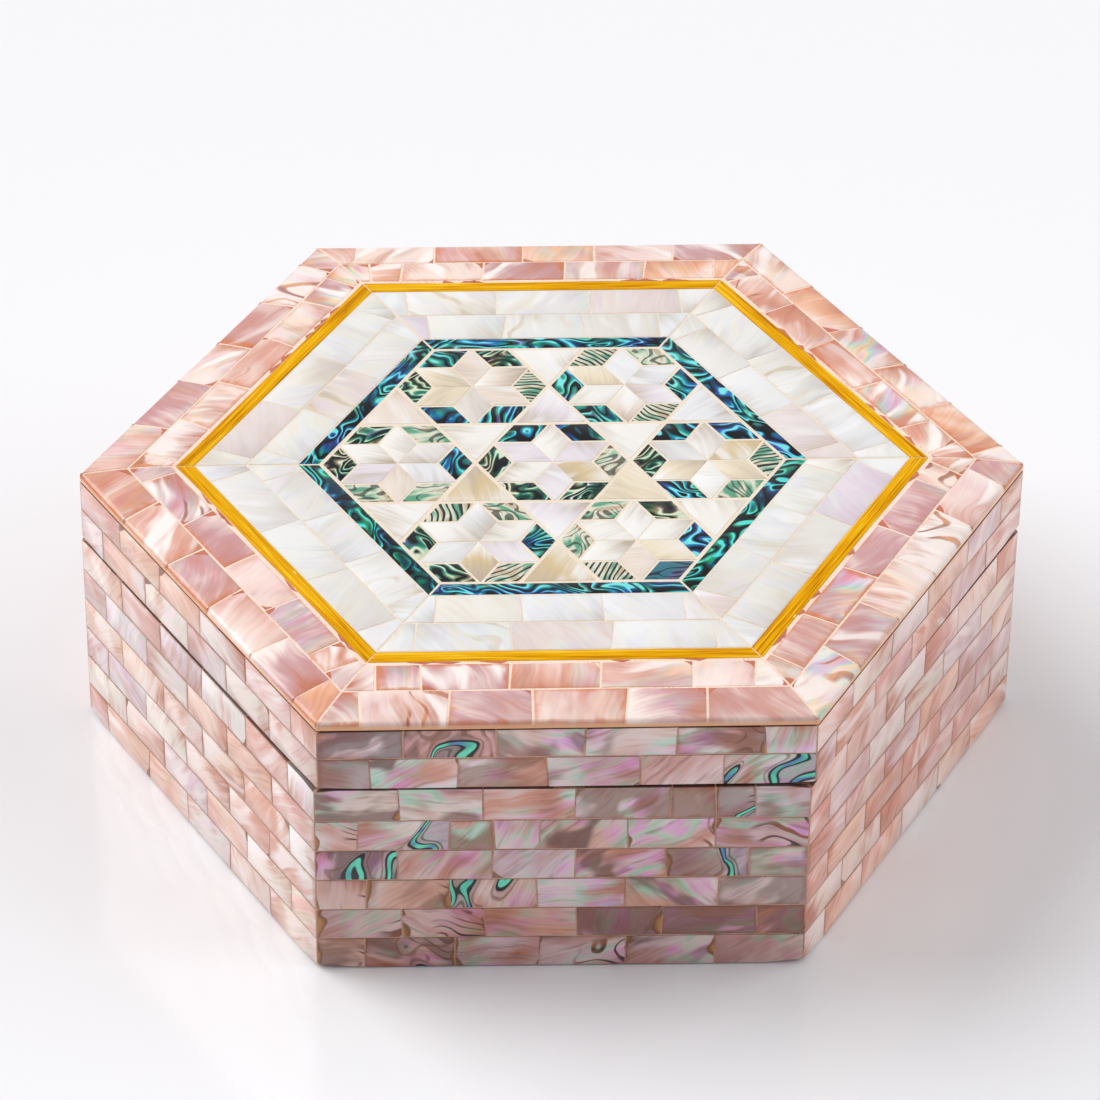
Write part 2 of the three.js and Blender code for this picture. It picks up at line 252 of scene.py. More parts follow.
class Sheet:
    """Flat outlines of tiles, one face each, with the marks that their finish reads."""

    def __init__(self, upright, level, lid=True, seed=1):
        self.upright = upright
        self.level = level
        self.lid = lid
        self.turn = LID_TURN if lid else 0.0
        self.shift = LID_SHIFT if lid else 0.0
        self.rng = random.Random(seed)
        self.points = []
        self.faces = []
        self.point_marks = {"out_mm": [], "rim": [], "spread": []}
        self.face_marks = {}

    def direction(self, side, x, y):
        """A flat direction of one side's frame, in the shared frame."""
        return Matrix.Rotation(side * SIXTH + self.turn, 3, "Z") @ Vector((x, y, 0))

    def place(self, side, along, across):
        """A point of one side's frame, in metres in the shared frame."""
        out = self.level if self.upright else across
        height = across if self.upright else self.level
        point = self.direction(side, along, -out) + Vector((self.shift, 0, height))
        return point * MM

    def add(self, side, outline, grain=None, ends=(), rims=(), long_axis=0.0, look=(0, 0, 0, 0)):
        """Adds one tile. ends maps a corner's index to the way it spreads at a mitre, rims lists
        the corners on an outer edge, grain is the angle of its streaks, and look says how much
        it shows iridescence, growth lines, eyes and rose; on the front bricks the rose is a painted
        shade."""
        following = outline[1:] + outline[:1]
        area = sum(a[0] * b[1] - b[0] * a[1] for a, b in zip(outline, following))
        order = list(range(len(outline)))
        if (area > 0) != self.upright:
            order.reverse()
        along = self.direction(side, math.cos(long_axis), math.sin(long_axis))
        across = Vector((0, 0, 1)) if self.upright else self.direction(
            side, math.sin(long_axis), -math.cos(long_axis)
        )
        first = len(self.points)
        ends = dict(ends)
        sideways = self.direction(side, 1, 0)
        rim_mark = CORNER_MARK if self.upright else RIM_MARK
        for index in order:
            point = outline[index]
            self.points.append(self.place(side, *point))
            self.point_marks["out_mm"].append(self.level if self.upright else point[1])
            self.point_marks["rim"].append(rim_mark if index in rims else 0.0)
            self.point_marks["spread"].append(sideways * ends.get(index, 0.0) * TAN_30)
        self.faces.append(list(range(first, first + len(outline))))
        places = self.points[first:]
        centre = sum(places, Vector()) / len(places)
        half = [
            max(abs((place - centre).dot(axis)) for place in places) / MM for axis in (along, across)
        ]
        if grain is None:
            grain = self.rng.uniform(0, math.pi)
        marks = {
            "tile_centre": centre,
            "tile_along": along,
            "tile_across": across,
            "tile_half": Vector((half[0], half[1], 0)),
            "tile_grain": along * math.cos(grain) + across * math.sin(grain),
            "tile_cross": across * math.cos(grain) - along * math.sin(grain),
            "tile_random": [self.rng.random() for _ in range(4)],
            "tile_look": look,
        }
        for key, value in marks.items():
            self.face_marks.setdefault(key, []).append(value)

    def mesh(self, name):
        """The outlines as one mesh, with their marks as attributes."""
        mesh = bpy.data.meshes.new(name)
        mesh.from_pydata(self.points, [], self.faces)
        number = mesh.attributes.new("tile_number", "INT", "FACE")
        number.data.foreach_set("value", list(range(len(self.faces))))
        for key, values in self.point_marks.items():
            kind = "FLOAT_VECTOR" if key == "spread" else "FLOAT"
            store(mesh, key, kind, "POINT", values)
        for key, values in self.face_marks.items():
            kind = "FLOAT_COLOR" if key in COLOUR_MARKS else "FLOAT_VECTOR"
            store(mesh, key, kind, "FACE", values)
        return mesh


# Node trees
class Signal:
    """A socket of a node tree that takes part in Python expressions."""

    def __init__(self, maker, socket):
        self.maker = maker
        self.socket = socket

    def _math(self, operation, *values):
        settings = {"operation": operation}
        return self.maker.add("ShaderNodeMath", settings, dict(enumerate(values)))

    def __add__(self, other):
        return self._math("ADD", self, other)

    def __radd__(self, other):
        return self._math("ADD", other, self)

    def __sub__(self, other):
        return self._math("SUBTRACT", self, other)

    def __rsub__(self, other):
        return self._math("SUBTRACT", other, self)

    def __mul__(self, other):
        return self._math("MULTIPLY", self, other)

    def __truediv__(self, other):
        return self._math("DIVIDE", self, other)

    def __pow__(self, other):
        return self._math("POWER", self, other)

    def __gt__(self, other):
        return self._math("GREATER_THAN", self, other)

    def __abs__(self):
        return self._math("ABSOLUTE", self)

    def sine(self):
        return self._math("SINE", self)

    def lesser(self, other):
        return self._math("MINIMUM", self, other)

    def greater(self, other):
        return self._math("MAXIMUM", self, other)

    def ramp(self, low, high, smooth=True):
        """0 below low, 1 above high. With low above high it runs the other way."""
        kind = "SMOOTHSTEP" if smooth else "LINEAR"
        inputs = {"Value": self, "From Min": low, "From Max": high}
        return self.maker.add("ShaderNodeMapRange", {"interpolation_type": kind}, inputs)


class Maker:
    """Adds nodes to one tree."""

    def __init__(self, tree):
        self.tree = tree

    def add(self, kind, settings=None, inputs=None, out=0):
        """Adds a node of a type: its settings first, then its sockets' values and links."""
        node = self.tree.nodes.new(kind)
        for key, value in (settings or {}).items():
            if key == "stops":
                self._set_stops(node.color_ramp, value)
            elif key == "interpolation":
                node.color_ramp.interpolation = value
            else:
                setattr(node, key, value)
        for key, value in (inputs or {}).items():
            for item in value if isinstance(value, list) else [value]:
                if isinstance(item, Signal):
                    self.tree.links.new(item.socket, node.inputs[key])
                else:
                    node.inputs[key].default_value = item
        return Signal(self, node.outputs[out]) if out is not None else node

    def _set_stops(self, ramp, stops):
        while len(ramp.elements) < len(stops):
            ramp.elements.new(0.5)
        for element, (position, colour) in zip(ramp.elements, stops):
            element.position = position
            element.color = srgb(*colour)

    def vector(self, operation, *values, out=0):
        """A Vector Math node."""
        settings = {"operation": operation}
        return self.add("ShaderNodeVectorMath", settings, dict(enumerate(values)), out)

    def dot(self, a, b):
        return self.vector("DOT_PRODUCT", a, b, out="Value")

    def scaled(self, value, factor):
        """A vector times a number."""
        inputs = {"Vector": value, "Scale": factor}
        return self.add("ShaderNodeVectorMath", {"operation": "SCALE"}, inputs)

    def join(self, x, y, z=0.0):
        """A vector from three numbers."""
        return self.add("ShaderNodeCombineXYZ", None, {"X": x, "Y": y, "Z": z})

    def mix(self, factor, a, b, blend="MIX"):
        """A mix of two colours."""
        settings = {"data_type": "RGBA", "blend_type": blend, "clamp_factor": True}
        return self.add("ShaderNodeMix", settings, {0: factor, 6: a, 7: b}, out=2)

    def noise(self, place, detail=2.0, roughness=0.5, distortion=0.0):
        """Noise about 0.5, at a scale set by the place."""
        inputs = {
            "Vector": place,
            "Scale": 1.0,
            "Detail": detail,
            "Roughness": roughness,
            "Distortion": distortion,
        }
        return self.add("ShaderNodeTexNoise", None, inputs, out="Fac")

    def place(self):
        """The place on the object."""
        return self.add("ShaderNodeTexCoord", None, None, out="Object")

    def height(self):
        """The height above the foot, in millimetres."""
        return self.dot(self.place(), (0, 0, 1)) / MM

    def relief(self, strength, depth, height):
        """A slight relief, as a normal. Its depth is in millimetres."""
        inputs = {"Strength": strength, "Distance": depth * MM, "Height": height}
        return self.add("ShaderNodeBump", None, inputs)

    def mark(self, name, out="Vector"):
        """A stored mark of the mesh, in a material."""
        return self.add("ShaderNodeAttribute", {"attribute_name": name}, None, out)

    def colours(self, factor, stops, interpolation="LINEAR"):
        """A colour ramp, through colours given as screen values."""
        settings = {"interpolation": interpolation, "stops": stops}
        return self.add("ShaderNodeValToRGB", settings, {"Fac": factor}, out="Color")


def raising_tree(name):
    """Geometry Nodes that raise flat outlines into closed plates, curve them down towards the
    rim, and mark how far each edge is rounded."""
    tree = bpy.data.node_groups.new(name, "GeometryNodeTree")
    make = Maker(tree)
    face = tree.interface
    face.new_socket("Geometry", in_out="INPUT", socket_type="NodeSocketGeometry")
    numbers = {
        "Thickness": 0.001,
        "Unevenness": 0.0,
        "Edge rounding": 0.1,
        "Drop at the rim": 0.0,
        "Curve start": STRIP_OUTER,
    }
    for label, value in numbers.items():
        face.new_socket(label, in_out="INPUT", socket_type="NodeSocketFloat").default_value = value
    face.new_socket("Cuts", in_out="INPUT", socket_type="NodeSocketInt").default_value = 0
    face.new_socket("Seed", in_out="INPUT", socket_type="NodeSocketInt").default_value = 1
    face.new_socket("Material", in_out="INPUT", socket_type="NodeSocketMaterial")
    face.new_socket("Geometry", in_out="OUTPUT", socket_type="NodeSocketGeometry")

    group = make.add("NodeGroupInput", out=None)
    given = {socket.name: Signal(make, socket) for socket in group.outputs if socket.name}

    def named(mark, kind="FLOAT"):
        return make.add("GeometryNodeInputNamedAttribute", {"data_type": kind}, {"Name": mark})

    cuts = {"Mesh": given["Geometry"], "Level": given["Cuts"]}
    flat = make.add("GeometryNodeSubdivideMesh", None, cuts)
    number = named("tile_number", "INT")
    most = given["Unevenness"]
    span = {2: most * -1, 3: most, "ID": number, "Seed": given["Seed"]}
    lift = make.add("FunctionNodeRandomValue", {"data_type": "FLOAT"}, span, out=1)
    raised = make.add(
        "GeometryNodeExtrudeMesh",
        {"mode": "FACES"},
        {"Mesh": flat, "Individual": False, "Offset Scale": given["Thickness"] + lift},
        out=None,
    )
    top = Signal(make, raised.outputs["Top"])
    marked = make.add(
        "GeometryNodeStoreNamedAttribute",
        {"data_type": "FLOAT", "domain": "POINT"},
        {"Geometry": Signal(make, raised.outputs["Mesh"]), "Name": "raised", "Value": top},
    )
    spread = make.scaled(named("spread", "FLOAT_VECTOR"), given["Thickness"])
    mitred = make.add(
        "GeometryNodeSetPosition",
        None,
        {"Geometry": marked, "Selection": named("raised"), "Offset": spread},
    )
    backs = make.add("GeometryNodeFlipFaces", None, {"Mesh": flat})
    both = make.add("GeometryNodeJoinGeometry", None, {"Geometry": [mitred, backs]})
    weld = {"Geometry": both, "Distance": WELD * MM}
    closed = make.add("GeometryNodeMergeByDistance", None, weld)

    share = ((named("out_mm") - given["Curve start"]) / (FACE - STRIP_OUTER)).greater(0)
    drop = share**BORDER_CURVE * given["Drop at the rim"] * MM
    lowered = {"Geometry": closed, "Offset": make.join(0.0, 0.0, drop * -1)}
    curved = make.add("GeometryNodeSetPosition", None, lowered)
    angle = make.add("GeometryNodeInputMeshEdgeAngle", None, None, out="Unsigned Angle")
    one_end_raised, both_ends_raised = 0.25, 0.99
    sharp = (angle > SHARP_ANGLE) * (named("raised") > one_end_raised)
    rim = named("rim")
    outer = (rim > RIM_MARK - MARK_MARGIN) * (named("raised") > both_ends_raised)
    corner = (rim > CORNER_MARK - MARK_MARGIN) * (1 - (rim > CORNER_MARK + MARK_MARGIN))
    fine = given["Edge rounding"] / RIM_ROUNDING
    weight = sharp * (outer + corner * CORNER_SHARE).greater(fine)
    weighted = make.add(
        "GeometryNodeStoreNamedAttribute",
        {"data_type": "FLOAT", "domain": "EDGE"},
        {"Geometry": curved, "Name": "bevel_weight_edge", "Value": weight},
    )
    real = make.add("GeometryNodeRealizeInstances", None, {"Geometry": weighted})
    dressed = {"Geometry": real, "Material": given["Material"]}
    done = make.add("GeometryNodeSetMaterial", None, dressed)
    make.add("NodeGroupOutput", None, {"Geometry": done}, out=None)
    return tree


def tree_inputs(tree):
    """The identifier of each named input."""
    return {
        item.name: item.identifier
        for item in tree.interface.items_tree
        if item.item_type == "SOCKET" and item.in_out == "INPUT"
    }


RAISE_PLATES = "Raise plates"
SPARE_MARKS = ("raised", "rim", "spread", "out_mm", "tile_number", "bevel_weight_edge")


def raise_plates(name, sheet, material, thickness, **values):
    """Turns a sheet of outlines into one piece of closed plates with rounded edges."""
    tree = bpy.data.node_groups.get(RAISE_PLATES) or raising_tree(RAISE_PLATES)
    draft = bpy.data.objects.new(name, sheet.mesh(name))
    bpy.context.scene.collection.objects.link(draft)
    rounding = values.pop("rounding", settings().edge_rounding)
    modifier = draft.modifiers.new(RAISE_PLATES, "NODES")
    modifier.node_group = tree
    keys = tree_inputs(tree)
    modifier[keys["Thickness"]] = thickness * MM
    modifier[keys["Unevenness"]] = values.pop("unevenness", 0.0) * MM
    modifier[keys["Edge rounding"]] = rounding
    modifier[keys["Drop at the rim"]] = values.pop("drop", 0.0)
    modifier[keys["Cuts"]] = values.pop("cuts", 0)
    modifier[keys["Seed"]] = settings().seed
    modifier[keys["Material"]] = material
    if rounding > 0:
        bevel = draft.modifiers.new("Round edges", "BEVEL")
        bevel.limit_method = "WEIGHT"
        bevel.width = RIM_ROUNDING * MM
        bevel.segments = values.pop("segments", 2)
        bevel.use_clamp_overlap = False
    graph = bpy.context.evaluated_depsgraph_get()
    solid = bpy.data.meshes.new_from_object(draft.evaluated_get(graph), depsgraph=graph)
    draft.modifiers.clear()
    draft.data = solid
    solid.name = name
    for spare in SPARE_MARKS:
        if spare in solid.attributes:
            solid.attributes.remove(solid.attributes[spare])
    solid.polygons.foreach_set("use_smooth", [True] * len(solid.polygons))
    solid.set_sharp_from_angle(angle=SMOOTH_ANGLE)
    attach(draft, "root")
    return draft


# Finishes. Tiles take their figure from places far apart in the noise.
TILE_SPREAD = 60
FULL_TURN = 6.283
RIM_TAN = srgb(246, 184, 134)
RIM_FADE = 0.5
RIM_STAIN = 0.7
SHELL_POLISH = {"Specular_IOR_Level": 0.3, "Coat_Weight": 0.4, "Coat_Roughness": 0.04}


def principled(name):
    """A new material with its maker and its shader."""
    material = bpy.data.materials.new(name)
    material.use_nodes = True
    tree = material.node_tree
    tree.nodes.clear()
    make = Maker(tree)
    shader = make.add("ShaderNodeBsdfPrincipled", out=None)
    output = make.add("ShaderNodeOutputMaterial", out=None)
    tree.links.new(shader.outputs["BSDF"], output.inputs["Surface"])
    return material, make, shader


def feed(make, shader, **signals):
    """Links or sets sockets of the shader by name, with underscores for spaces."""
    for key, value in signals.items():
        socket = shader.inputs[key.replace("_", " ")]
        if isinstance(value, Signal):
            make.tree.links.new(value.socket, socket)
        else:
            socket.default_value = value


class TileFrame:
    """Where a point lies on its own tile, in millimetres, and the tile's own random values."""

    def __init__(self, make):
        self.make = make
        self.offset = make.vector("SUBTRACT", make.place(), make.mark("tile_centre"))
        self.u = self.reach("tile_along")
        self.v = self.reach("tile_across")
        self.grain = self.reach("tile_grain")
        self.cross = self.reach("tile_cross")
        half = make.add("ShaderNodeSeparateXYZ", None, {0: make.mark("tile_half")}, out=None)
        self.half = [Signal(make, half.outputs[index]) for index in (0, 1)]
        self.draws = self.parts("tile_random")
        self.looks = self.parts("tile_look")

    def reach(self, mark):
        """The distance from the tile's centre along one of its marks."""
        return self.make.dot(self.offset, self.make.mark(mark)) / MM

    def parts(self, mark):
        """The four numbers of a mark."""
        make = self.make
        split = make.add("ShaderNodeSeparateColor", None, {0: make.mark(mark, "Color")}, out=None)
        return [Signal(make, split.outputs[index]) for index in range(3)] + [make.mark(mark, "Alpha")]

    def edge(self, end_share=1.0):
        """The distance from the nearest edge of the tile's block, where its ends count less."""
        ends = (self.half[0] - abs(self.u)) / end_share
        flanks = self.half[1] - abs(self.v)
        return ends.lesser(flanks)

    def bend(self, reach, rate=0.07):
        """Bends the grain sideways by up to about this many millimetres."""
        sway = self.grained(rate, rate, 7.0, detail=1.0) - 0.5
        self.cross = self.cross + sway * (2.5 * reach)

    def grained(self, long, fine, shift, detail=2.0, roughness=0.5, distortion=0.0):
        """Noise drawn out along the grain: long and fine are its rates a millimetre, and shift
        tells one noise from the next."""
        place = self.make.join(
            self.grain * long + self.draws[0] * TILE_SPREAD + shift,
            self.cross * fine + self.draws[1] * TILE_SPREAD,
            self.draws[2] * TILE_SPREAD + shift,
        )
        return self.make.noise(place, detail, roughness, distortion)


def nacre(name, tones, **look):
    """Mother-of-pearl: a tone for each tile, clouds and streaks along a bent grain, a painted sheen
    that runs light to dark across each tile, pastel iridescence, bands of pale painted highlight,
    brown growth lines and warm edges."""
    material, make, shader = principled(name)
    tile = TileFrame(make)
    tile.bend(look["bend"])
    steps = [(index / len(tones), tone) for index, tone in enumerate(tones)]
    colour = make.colours(tile.draws[3], steps, "CONSTANT")

    cloud = tile.grained(*look["cloud_rates"], 3.0, detail=1.0, distortion=0.4)
    streak = tile.grained(*look["streak_rates"], 11.0, detail=4.0, roughness=0.58)
    # Painted sheen: each tile turns lighter towards one end and darker towards the other, as if it
    # caught the light at its own angle.
    slope = tile.grain / tile.half[0].greater(tile.half[1]) * (tile.draws[2] - 0.5)

    hue = tile.grained(0.07, 0.17, 37.0, detail=1.0)
    pastel = make.colours(hue + (streak - 0.5) * 0.15, look["pastels"])
    amount = tile.grained(0.07, 0.12, 53.0, detail=0.0).ramp(0.38, 0.58)
    amount = amount * (tile.looks[0] * look["iridescence"])
    colour = make.mix(amount, colour, pastel)

    shade = (cloud - 0.5) * look["cloud"] + (streak - 0.5) * look["streak"] + slope * look["slope"]
    fine = tile.grained(0.05, 1.1, 201.0, detail=1.0)
    shade = shade + (fine - 0.5) * look["fine"]
    colour = make.mix(shade.ramp(0.0, 0.5, smooth=False), colour, look["pale"])
    colour = make.mix(shade.ramp(0.0, -0.5, smooth=False), colour, look["deep"])

    # Painted highlight: bands of near-white silvery shine on some tiles, painted into the colour.
    flash = tile.grained(0.05, 0.2, 71.0, detail=1.5)
    flash = flash.ramp(look["flash_from"], look["flash_from"] + 0.14) * look["flash"]
    flash = flash * tile.draws[0].ramp(0.2, 0.7)
    colour = make.mix(flash, colour, look["flash_colour"])

    rings = tile.grained(0.07, 0.1, 97.0, detail=0.5) * look["ring_rate"] + tile.cross * 0.12
    line = (rings * FULL_TURN).sine().ramp(0.6, 0.95)
    beside = tile.u / tile.half[0] * 0.8 + (tile.draws[0] - 0.5) * 1.2 + (cloud - 0.5) * 2
    line = line * beside.ramp(0.15, 0.6) * tile.looks[1]
    veins = make.mix(streak.ramp(0.4, 0.6), look["vein_colour"], look["vein_pale"])
    colour = make.mix(line, colour, veins)

    width = look["edge_width"]
    rough_edge = (tile.grained(0.35, 0.35, 131.0, detail=2.0) - 0.5) * (width * 1.8)
    edge = (tile.edge(look.get("end_share", 1.0)) + rough_edge).ramp(width, 0.0)
    warm = tile.draws[1].ramp(0.3, 0.95) * look["edge"]
    colour = make.mix(edge * warm, colour, look["edge_colour"])

    if "rim_height" in look:
        rim = make.height().ramp(look["rim_height"], look["rim_height"] - RIM_FADE)
        colour = make.mix(rim * RIM_STAIN, colour, RIM_TAN)

    bump = make.relief(0.1, 0.05, streak)
    feed(make, shader, Base_Color=colour, Roughness=0.22 + streak * 0.16, Normal=bump)
    feed(make, shader, **SHELL_POLISH)
    return material, make, shader, tile, colour


def abalone_layers(make, tile, rate, deep, bright, sparkle):
    """The colours of abalone: growth bands that follow a smooth warped field, each with a dark
    line and a sheen that fades from bright to deep, and a hue that drifts from place to place."""
    field = tile.grained(0.1 * rate, 0.18 * rate, 5.0, detail=0.8, roughness=0.4, distortion=0.5)
    phase = field * 8.5 + tile.cross * (0.2 * rate)
    band = make.add("ShaderNodeMath", {"operation": "FRACT"}, {0: phase})
    hue = tile.grained(0.09 * rate, 0.2 * rate, 29.0, detail=2.0)
    dark = make.colours(hue, deep)
    light = make.colours(hue, bright)
    sheen = band.ramp(0.24, 0.5) * band.ramp(1.0, 0.5)
    glow = tile.grained(0.13 * rate, 0.3 * rate, 43.0, detail=2.0)
    colour = make.mix(sheen * glow.ramp(0.3, 0.5), dark, light)
    colour = make.mix((sheen * glow).ramp(0.36, 0.52), colour, sparkle)
    width = 0.13 + tile.grained(0.08, 0.15, 61.0, detail=1.0).ramp(0.3, 0.7) * 0.4
    line = band.ramp(width, width - 0.1).greater(band.ramp(0.93, 0.98))
    return make.mix(line, colour, srgb(6, 10, 16)), line


DEEP_BLUES = (
    (0.3, (14, 34, 66)), (0.42, (12, 52, 96)), (0.52, (8, 70, 92)), (0.62, (10, 66, 66)),
    (0.74, (40, 44, 92)),
)
BRIGHT_BLUES = (
    (0.34, (76, 96, 200)), (0.41, (20, 136, 214)), (0.48, (16, 176, 204)), (0.54, (34, 200, 160)),
    (0.6, (96, 186, 150)), (0.67, (146, 124, 214)),
)
DEEP_GREENS = (
    (0.3, (14, 44, 50)), (0.45, (8, 62, 56)), (0.58, (46, 62, 40)), (0.72, (52, 48, 62)),
)
BRIGHT_GREENS = (
    (0.34, (120, 120, 180)), (0.42, (30, 160, 128)), (0.5, (86, 184, 146)),
    (0.57, (176, 186, 132)), (0.65, (176, 142, 118)),
)


def mixed_abalone(make, tile, colour):
    """The colour of a blue tile, or of one that is green, striped with cream, pale or smoky, each
    by its own random value."""
    kind = tile.draws[3]
    green, green_lines = abalone_layers(
        make, tile, 0.85, DEEP_GREENS, BRIGHT_GREENS, srgb(214, 226, 200)
    )
    colour = make.mix(kind > 0.52, colour, green)
    stripe = (tile.cross * 4.6 + tile.grained(0.08, 0.12, 89.0, detail=1.0) * 14).sine()
    stripe = stripe + (tile.grained(0.12, 0.6, 91.0) - 0.5) * 2.4
    cream = make.colours(
        tile.grained(0.15, 0.4, 93.0, detail=1.0),
        (
            (0.36, (96, 160, 130)), (0.46, (190, 208, 182)), (0.54, (228, 222, 204)),
            (0.62, (186, 184, 150)), (0.7, (212, 176, 156)),
        ),
    )
    striped = make.mix(stripe.ramp(0.1, 0.6), cream, srgb(44, 54, 50))
    colour = make.mix(kind > 0.76, colour, striped)
    pale = make.mix(green_lines * 0.8, cream, srgb(54, 46, 42))
    colour = make.mix(kind > 0.85, colour, pale)
    haze = tile.grained(0.1, 0.2, 95.0).ramp(0.4, 0.6)
    smoky = make.mix(haze, srgb(104, 98, 138), srgb(52, 112, 128))
    smoky = make.mix(green_lines * 0.85, smoky, srgb(22, 22, 34))
    return make.mix(kind > 0.94, colour, smoky)


def abalone(name, mixed=False):
    """Abalone shell: blue and teal for the strips, and mixed for the rhombs."""
    material, make, shader = principled(name)
    tile = TileFrame(make)
    tile.bend(2.0, 0.1)
    colour, lines = abalone_layers(
        make, tile, 0.75 if mixed else 0.9, DEEP_BLUES, BRIGHT_BLUES, srgb(120, 226, 226)
    )
    greener = make.mix(0.75, colour, srgb(70, 150, 110), "OVERLAY")
    colour = make.mix(tile.looks[2], colour, greener)
    if mixed:
        colour = mixed_abalone(make, tile, colour)
    bump = make.relief(0.1, 0.05, lines)
    feed(make, shader, Base_Color=colour, Roughness=0.2 + lines * 0.1, Normal=bump)
    feed(make, shader, **SHELL_POLISH)
    return material


PASTELS = (
    (0.3, (248, 172, 240)), (0.38, (243, 196, 238)), (0.45, (238, 218, 224)),
    (0.52, (160, 244, 212)), (0.57, (214, 240, 220)), (0.64, (250, 182, 242)),
    (0.78, (204, 192, 248)),
)
SILVERS = (
    (0.3, (232, 218, 226)), (0.42, (212, 214, 226)), (0.5, (222, 228, 222)),
    (0.6, (232, 222, 198)), (0.74, (224, 212, 226)),
)


def with_eye(make, tile, colour):
    """The colour with a black-lined eye of abalone in it, where a tile's look says so."""
    field = tile.grained(0.07, 0.12, 151.0, detail=0.5, distortion=0.3)
    rise = field + tile.u / tile.half[0] * (tile.draws[2] - 0.5) * 0.5
    inner = make.colours(
        rise,
        (
            (0.5, (150, 128, 134)), (0.6, (118, 108, 120)), (0.66, (146, 166, 160)),
            (0.72, (170, 140, 166)),
        ),
    )
    inner = make.mix(0.45, inner, colour)
    shell = make.colours(
        tile.grained(0.16, 0.35, 171.0, detail=1.5),
        ((0.36, (90, 150, 200)), (0.46, (90, 210, 180)), (0.58, (110, 236, 200))),
    )
    eye = make.mix(rise.ramp(0.46, 0.58), colour, inner)
    eye = make.mix(abs(rise - 0.5).ramp(0.012, 0.004) * 0.6, eye, srgb(124, 78, 50))
    eye = make.mix(abs(rise - 0.66).ramp(0.018, 0.006) * 0.7, eye, srgb(70, 50, 44))
    eye = make.mix(abs(rise - 0.575).ramp(0.046, 0.036), eye, srgb(20, 16, 18))
    eye = make.mix(abs(rise - 0.58).ramp(0.024, 0.016), eye, shell)
    return make.mix(tile.looks[2], colour, eye)


def rosy_nacre():
    """The side bricks: peach and cream nacre, and rosy, mauve and smoky where a brick's look
    says so, with eyes of black-lined abalone on a few."""
    material, make, shader, tile, colour = nacre(
        "Rosy nacre",
        (
            (244, 234, 220), (242, 200, 176), (228, 176, 160), (246, 222, 210), (228, 212, 218),
            (234, 190, 182), (243, 240, 235), (230, 172, 148), (222, 192, 194), (246, 212, 190),
        ),
        bend=2.4,
        cloud_rates=(0.09, 0.13),
        streak_rates=(0.08, 0.42),
        pastels=PASTELS,
        iridescence=1.0,
        cloud=1.35,
        streak=0.6,
        fine=0.6,
        slope=0.9,
        pale=srgb(253, 246, 242),
        deep=srgb(204, 142, 120),
        flash=0.85,
        flash_from=0.53,
        flash_colour=srgb(252, 242, 240),
        ring_rate=9.0,
        vein_colour=srgb(52, 34, 28),
        vein_pale=srgb(160, 94, 44),
        edge=0.6,
        edge_width=1.0,
        edge_colour=srgb(196, 128, 100),
    )
    # The multiply below: on the front a painted shade that makes the bricks darker and browner
    # towards the foot; on the other sides a rosier tint of the shell.
    rose_tint_and_painted_shade = make.mix(tile.looks[0] > 0.5, srgb(255, 234, 229), srgb(214, 184, 168))
    colour = make.mix(tile.looks[3], colour, rose_tint_and_painted_shade, "MULTIPLY")
    colour = make.mix(tile.looks[0] * 0.6, colour, srgb(255, 236, 244), "MULTIPLY")
    smoke_field = tile.grained(0.06, 0.12, 161.0, detail=2.5, distortion=0.4)
    smoke = (smoke_field + (tile.draws[1] - 0.5) * 0.5).ramp(0.52, 0.66) * tile.looks[0]
    smoky = make.mix(tile.draws[2], srgb(146, 88, 56), srgb(104, 74, 76))
    colour = make.mix(smoke * 0.85, colour, smoky)
    ridge = tile.grained(0.09, 0.7, 181.0, detail=3.0).ramp(0.57, 0.66) * tile.looks[0]
    colour = make.mix(ridge * 0.4, colour, srgb(124, 86, 70))
    end = abs(tile.u) / tile.half[0] + (smoke_field - 0.5) * 1.1
    resin = end.ramp(1.0, 1.06) * tile.looks[1].ramp(0.3, 0.6)
    resin_colour = make.mix(end.ramp(1.0, 1.2), srgb(110, 66, 38), srgb(196, 134, 78))
    colour = make.mix(resin, colour, resin_colour)
    colour = with_eye(make, tile, colour)
    # Painted shade: every face of a side brick that looks upwards, such as the base bricks' tops seen
    # in the gap under the lid, is painted dark brown for the shade in that gap.
    facing = make.add("ShaderNodeNewGeometry", None, None, out="Normal")
    painted_gap_shade = make.dot(facing, (0, 0, 1)).ramp(0.6, 0.9)
    feed(make, shader, Base_Color=make.mix(painted_gap_shade * 0.8, colour, srgb(60, 36, 26)))
    return material


def pink_nacre():
    """The lid's border: salmon and rose nacre with painted silvery highlight bands and orange-brown
    edges.
    """
    return nacre(
        "Pink nacre",
        (
            (210, 158, 150), (238, 178, 144), (206, 156, 158), (248, 220, 206), (216, 150, 128),
            (232, 188, 174), (248, 234, 228), (202, 158, 158), (240, 208, 200), (226, 170, 152),
        ),
        bend=3.0,
        cloud_rates=(0.1, 0.15),
        streak_rates=(0.08, 0.26),
        pastels=(
            (0.3, (226, 150, 168)), (0.42, (212, 190, 218)), (0.5, (176, 216, 204)),
            (0.6, (246, 214, 170)), (0.74, (222, 170, 196)),
        ),
        iridescence=1.0,
        cloud=0.8,
        streak=0.6,
        fine=0.4,
        slope=1.2,
        pale=srgb(252, 234, 225),
        deep=srgb(196, 122, 98),
        flash=0.95,
        flash_from=0.53,
        flash_colour=srgb(253, 243, 238),
        ring_rate=4.0,
        vein_colour=srgb(150, 84, 60),
        vein_pale=srgb(220, 140, 84),
        edge=0.8,
        edge_width=1.1,
        end_share=2.2,
        edge_colour=srgb(214, 122, 66),
        rim_height=HEIGHT - BORDER_DROP - 0.5,
    )[0]


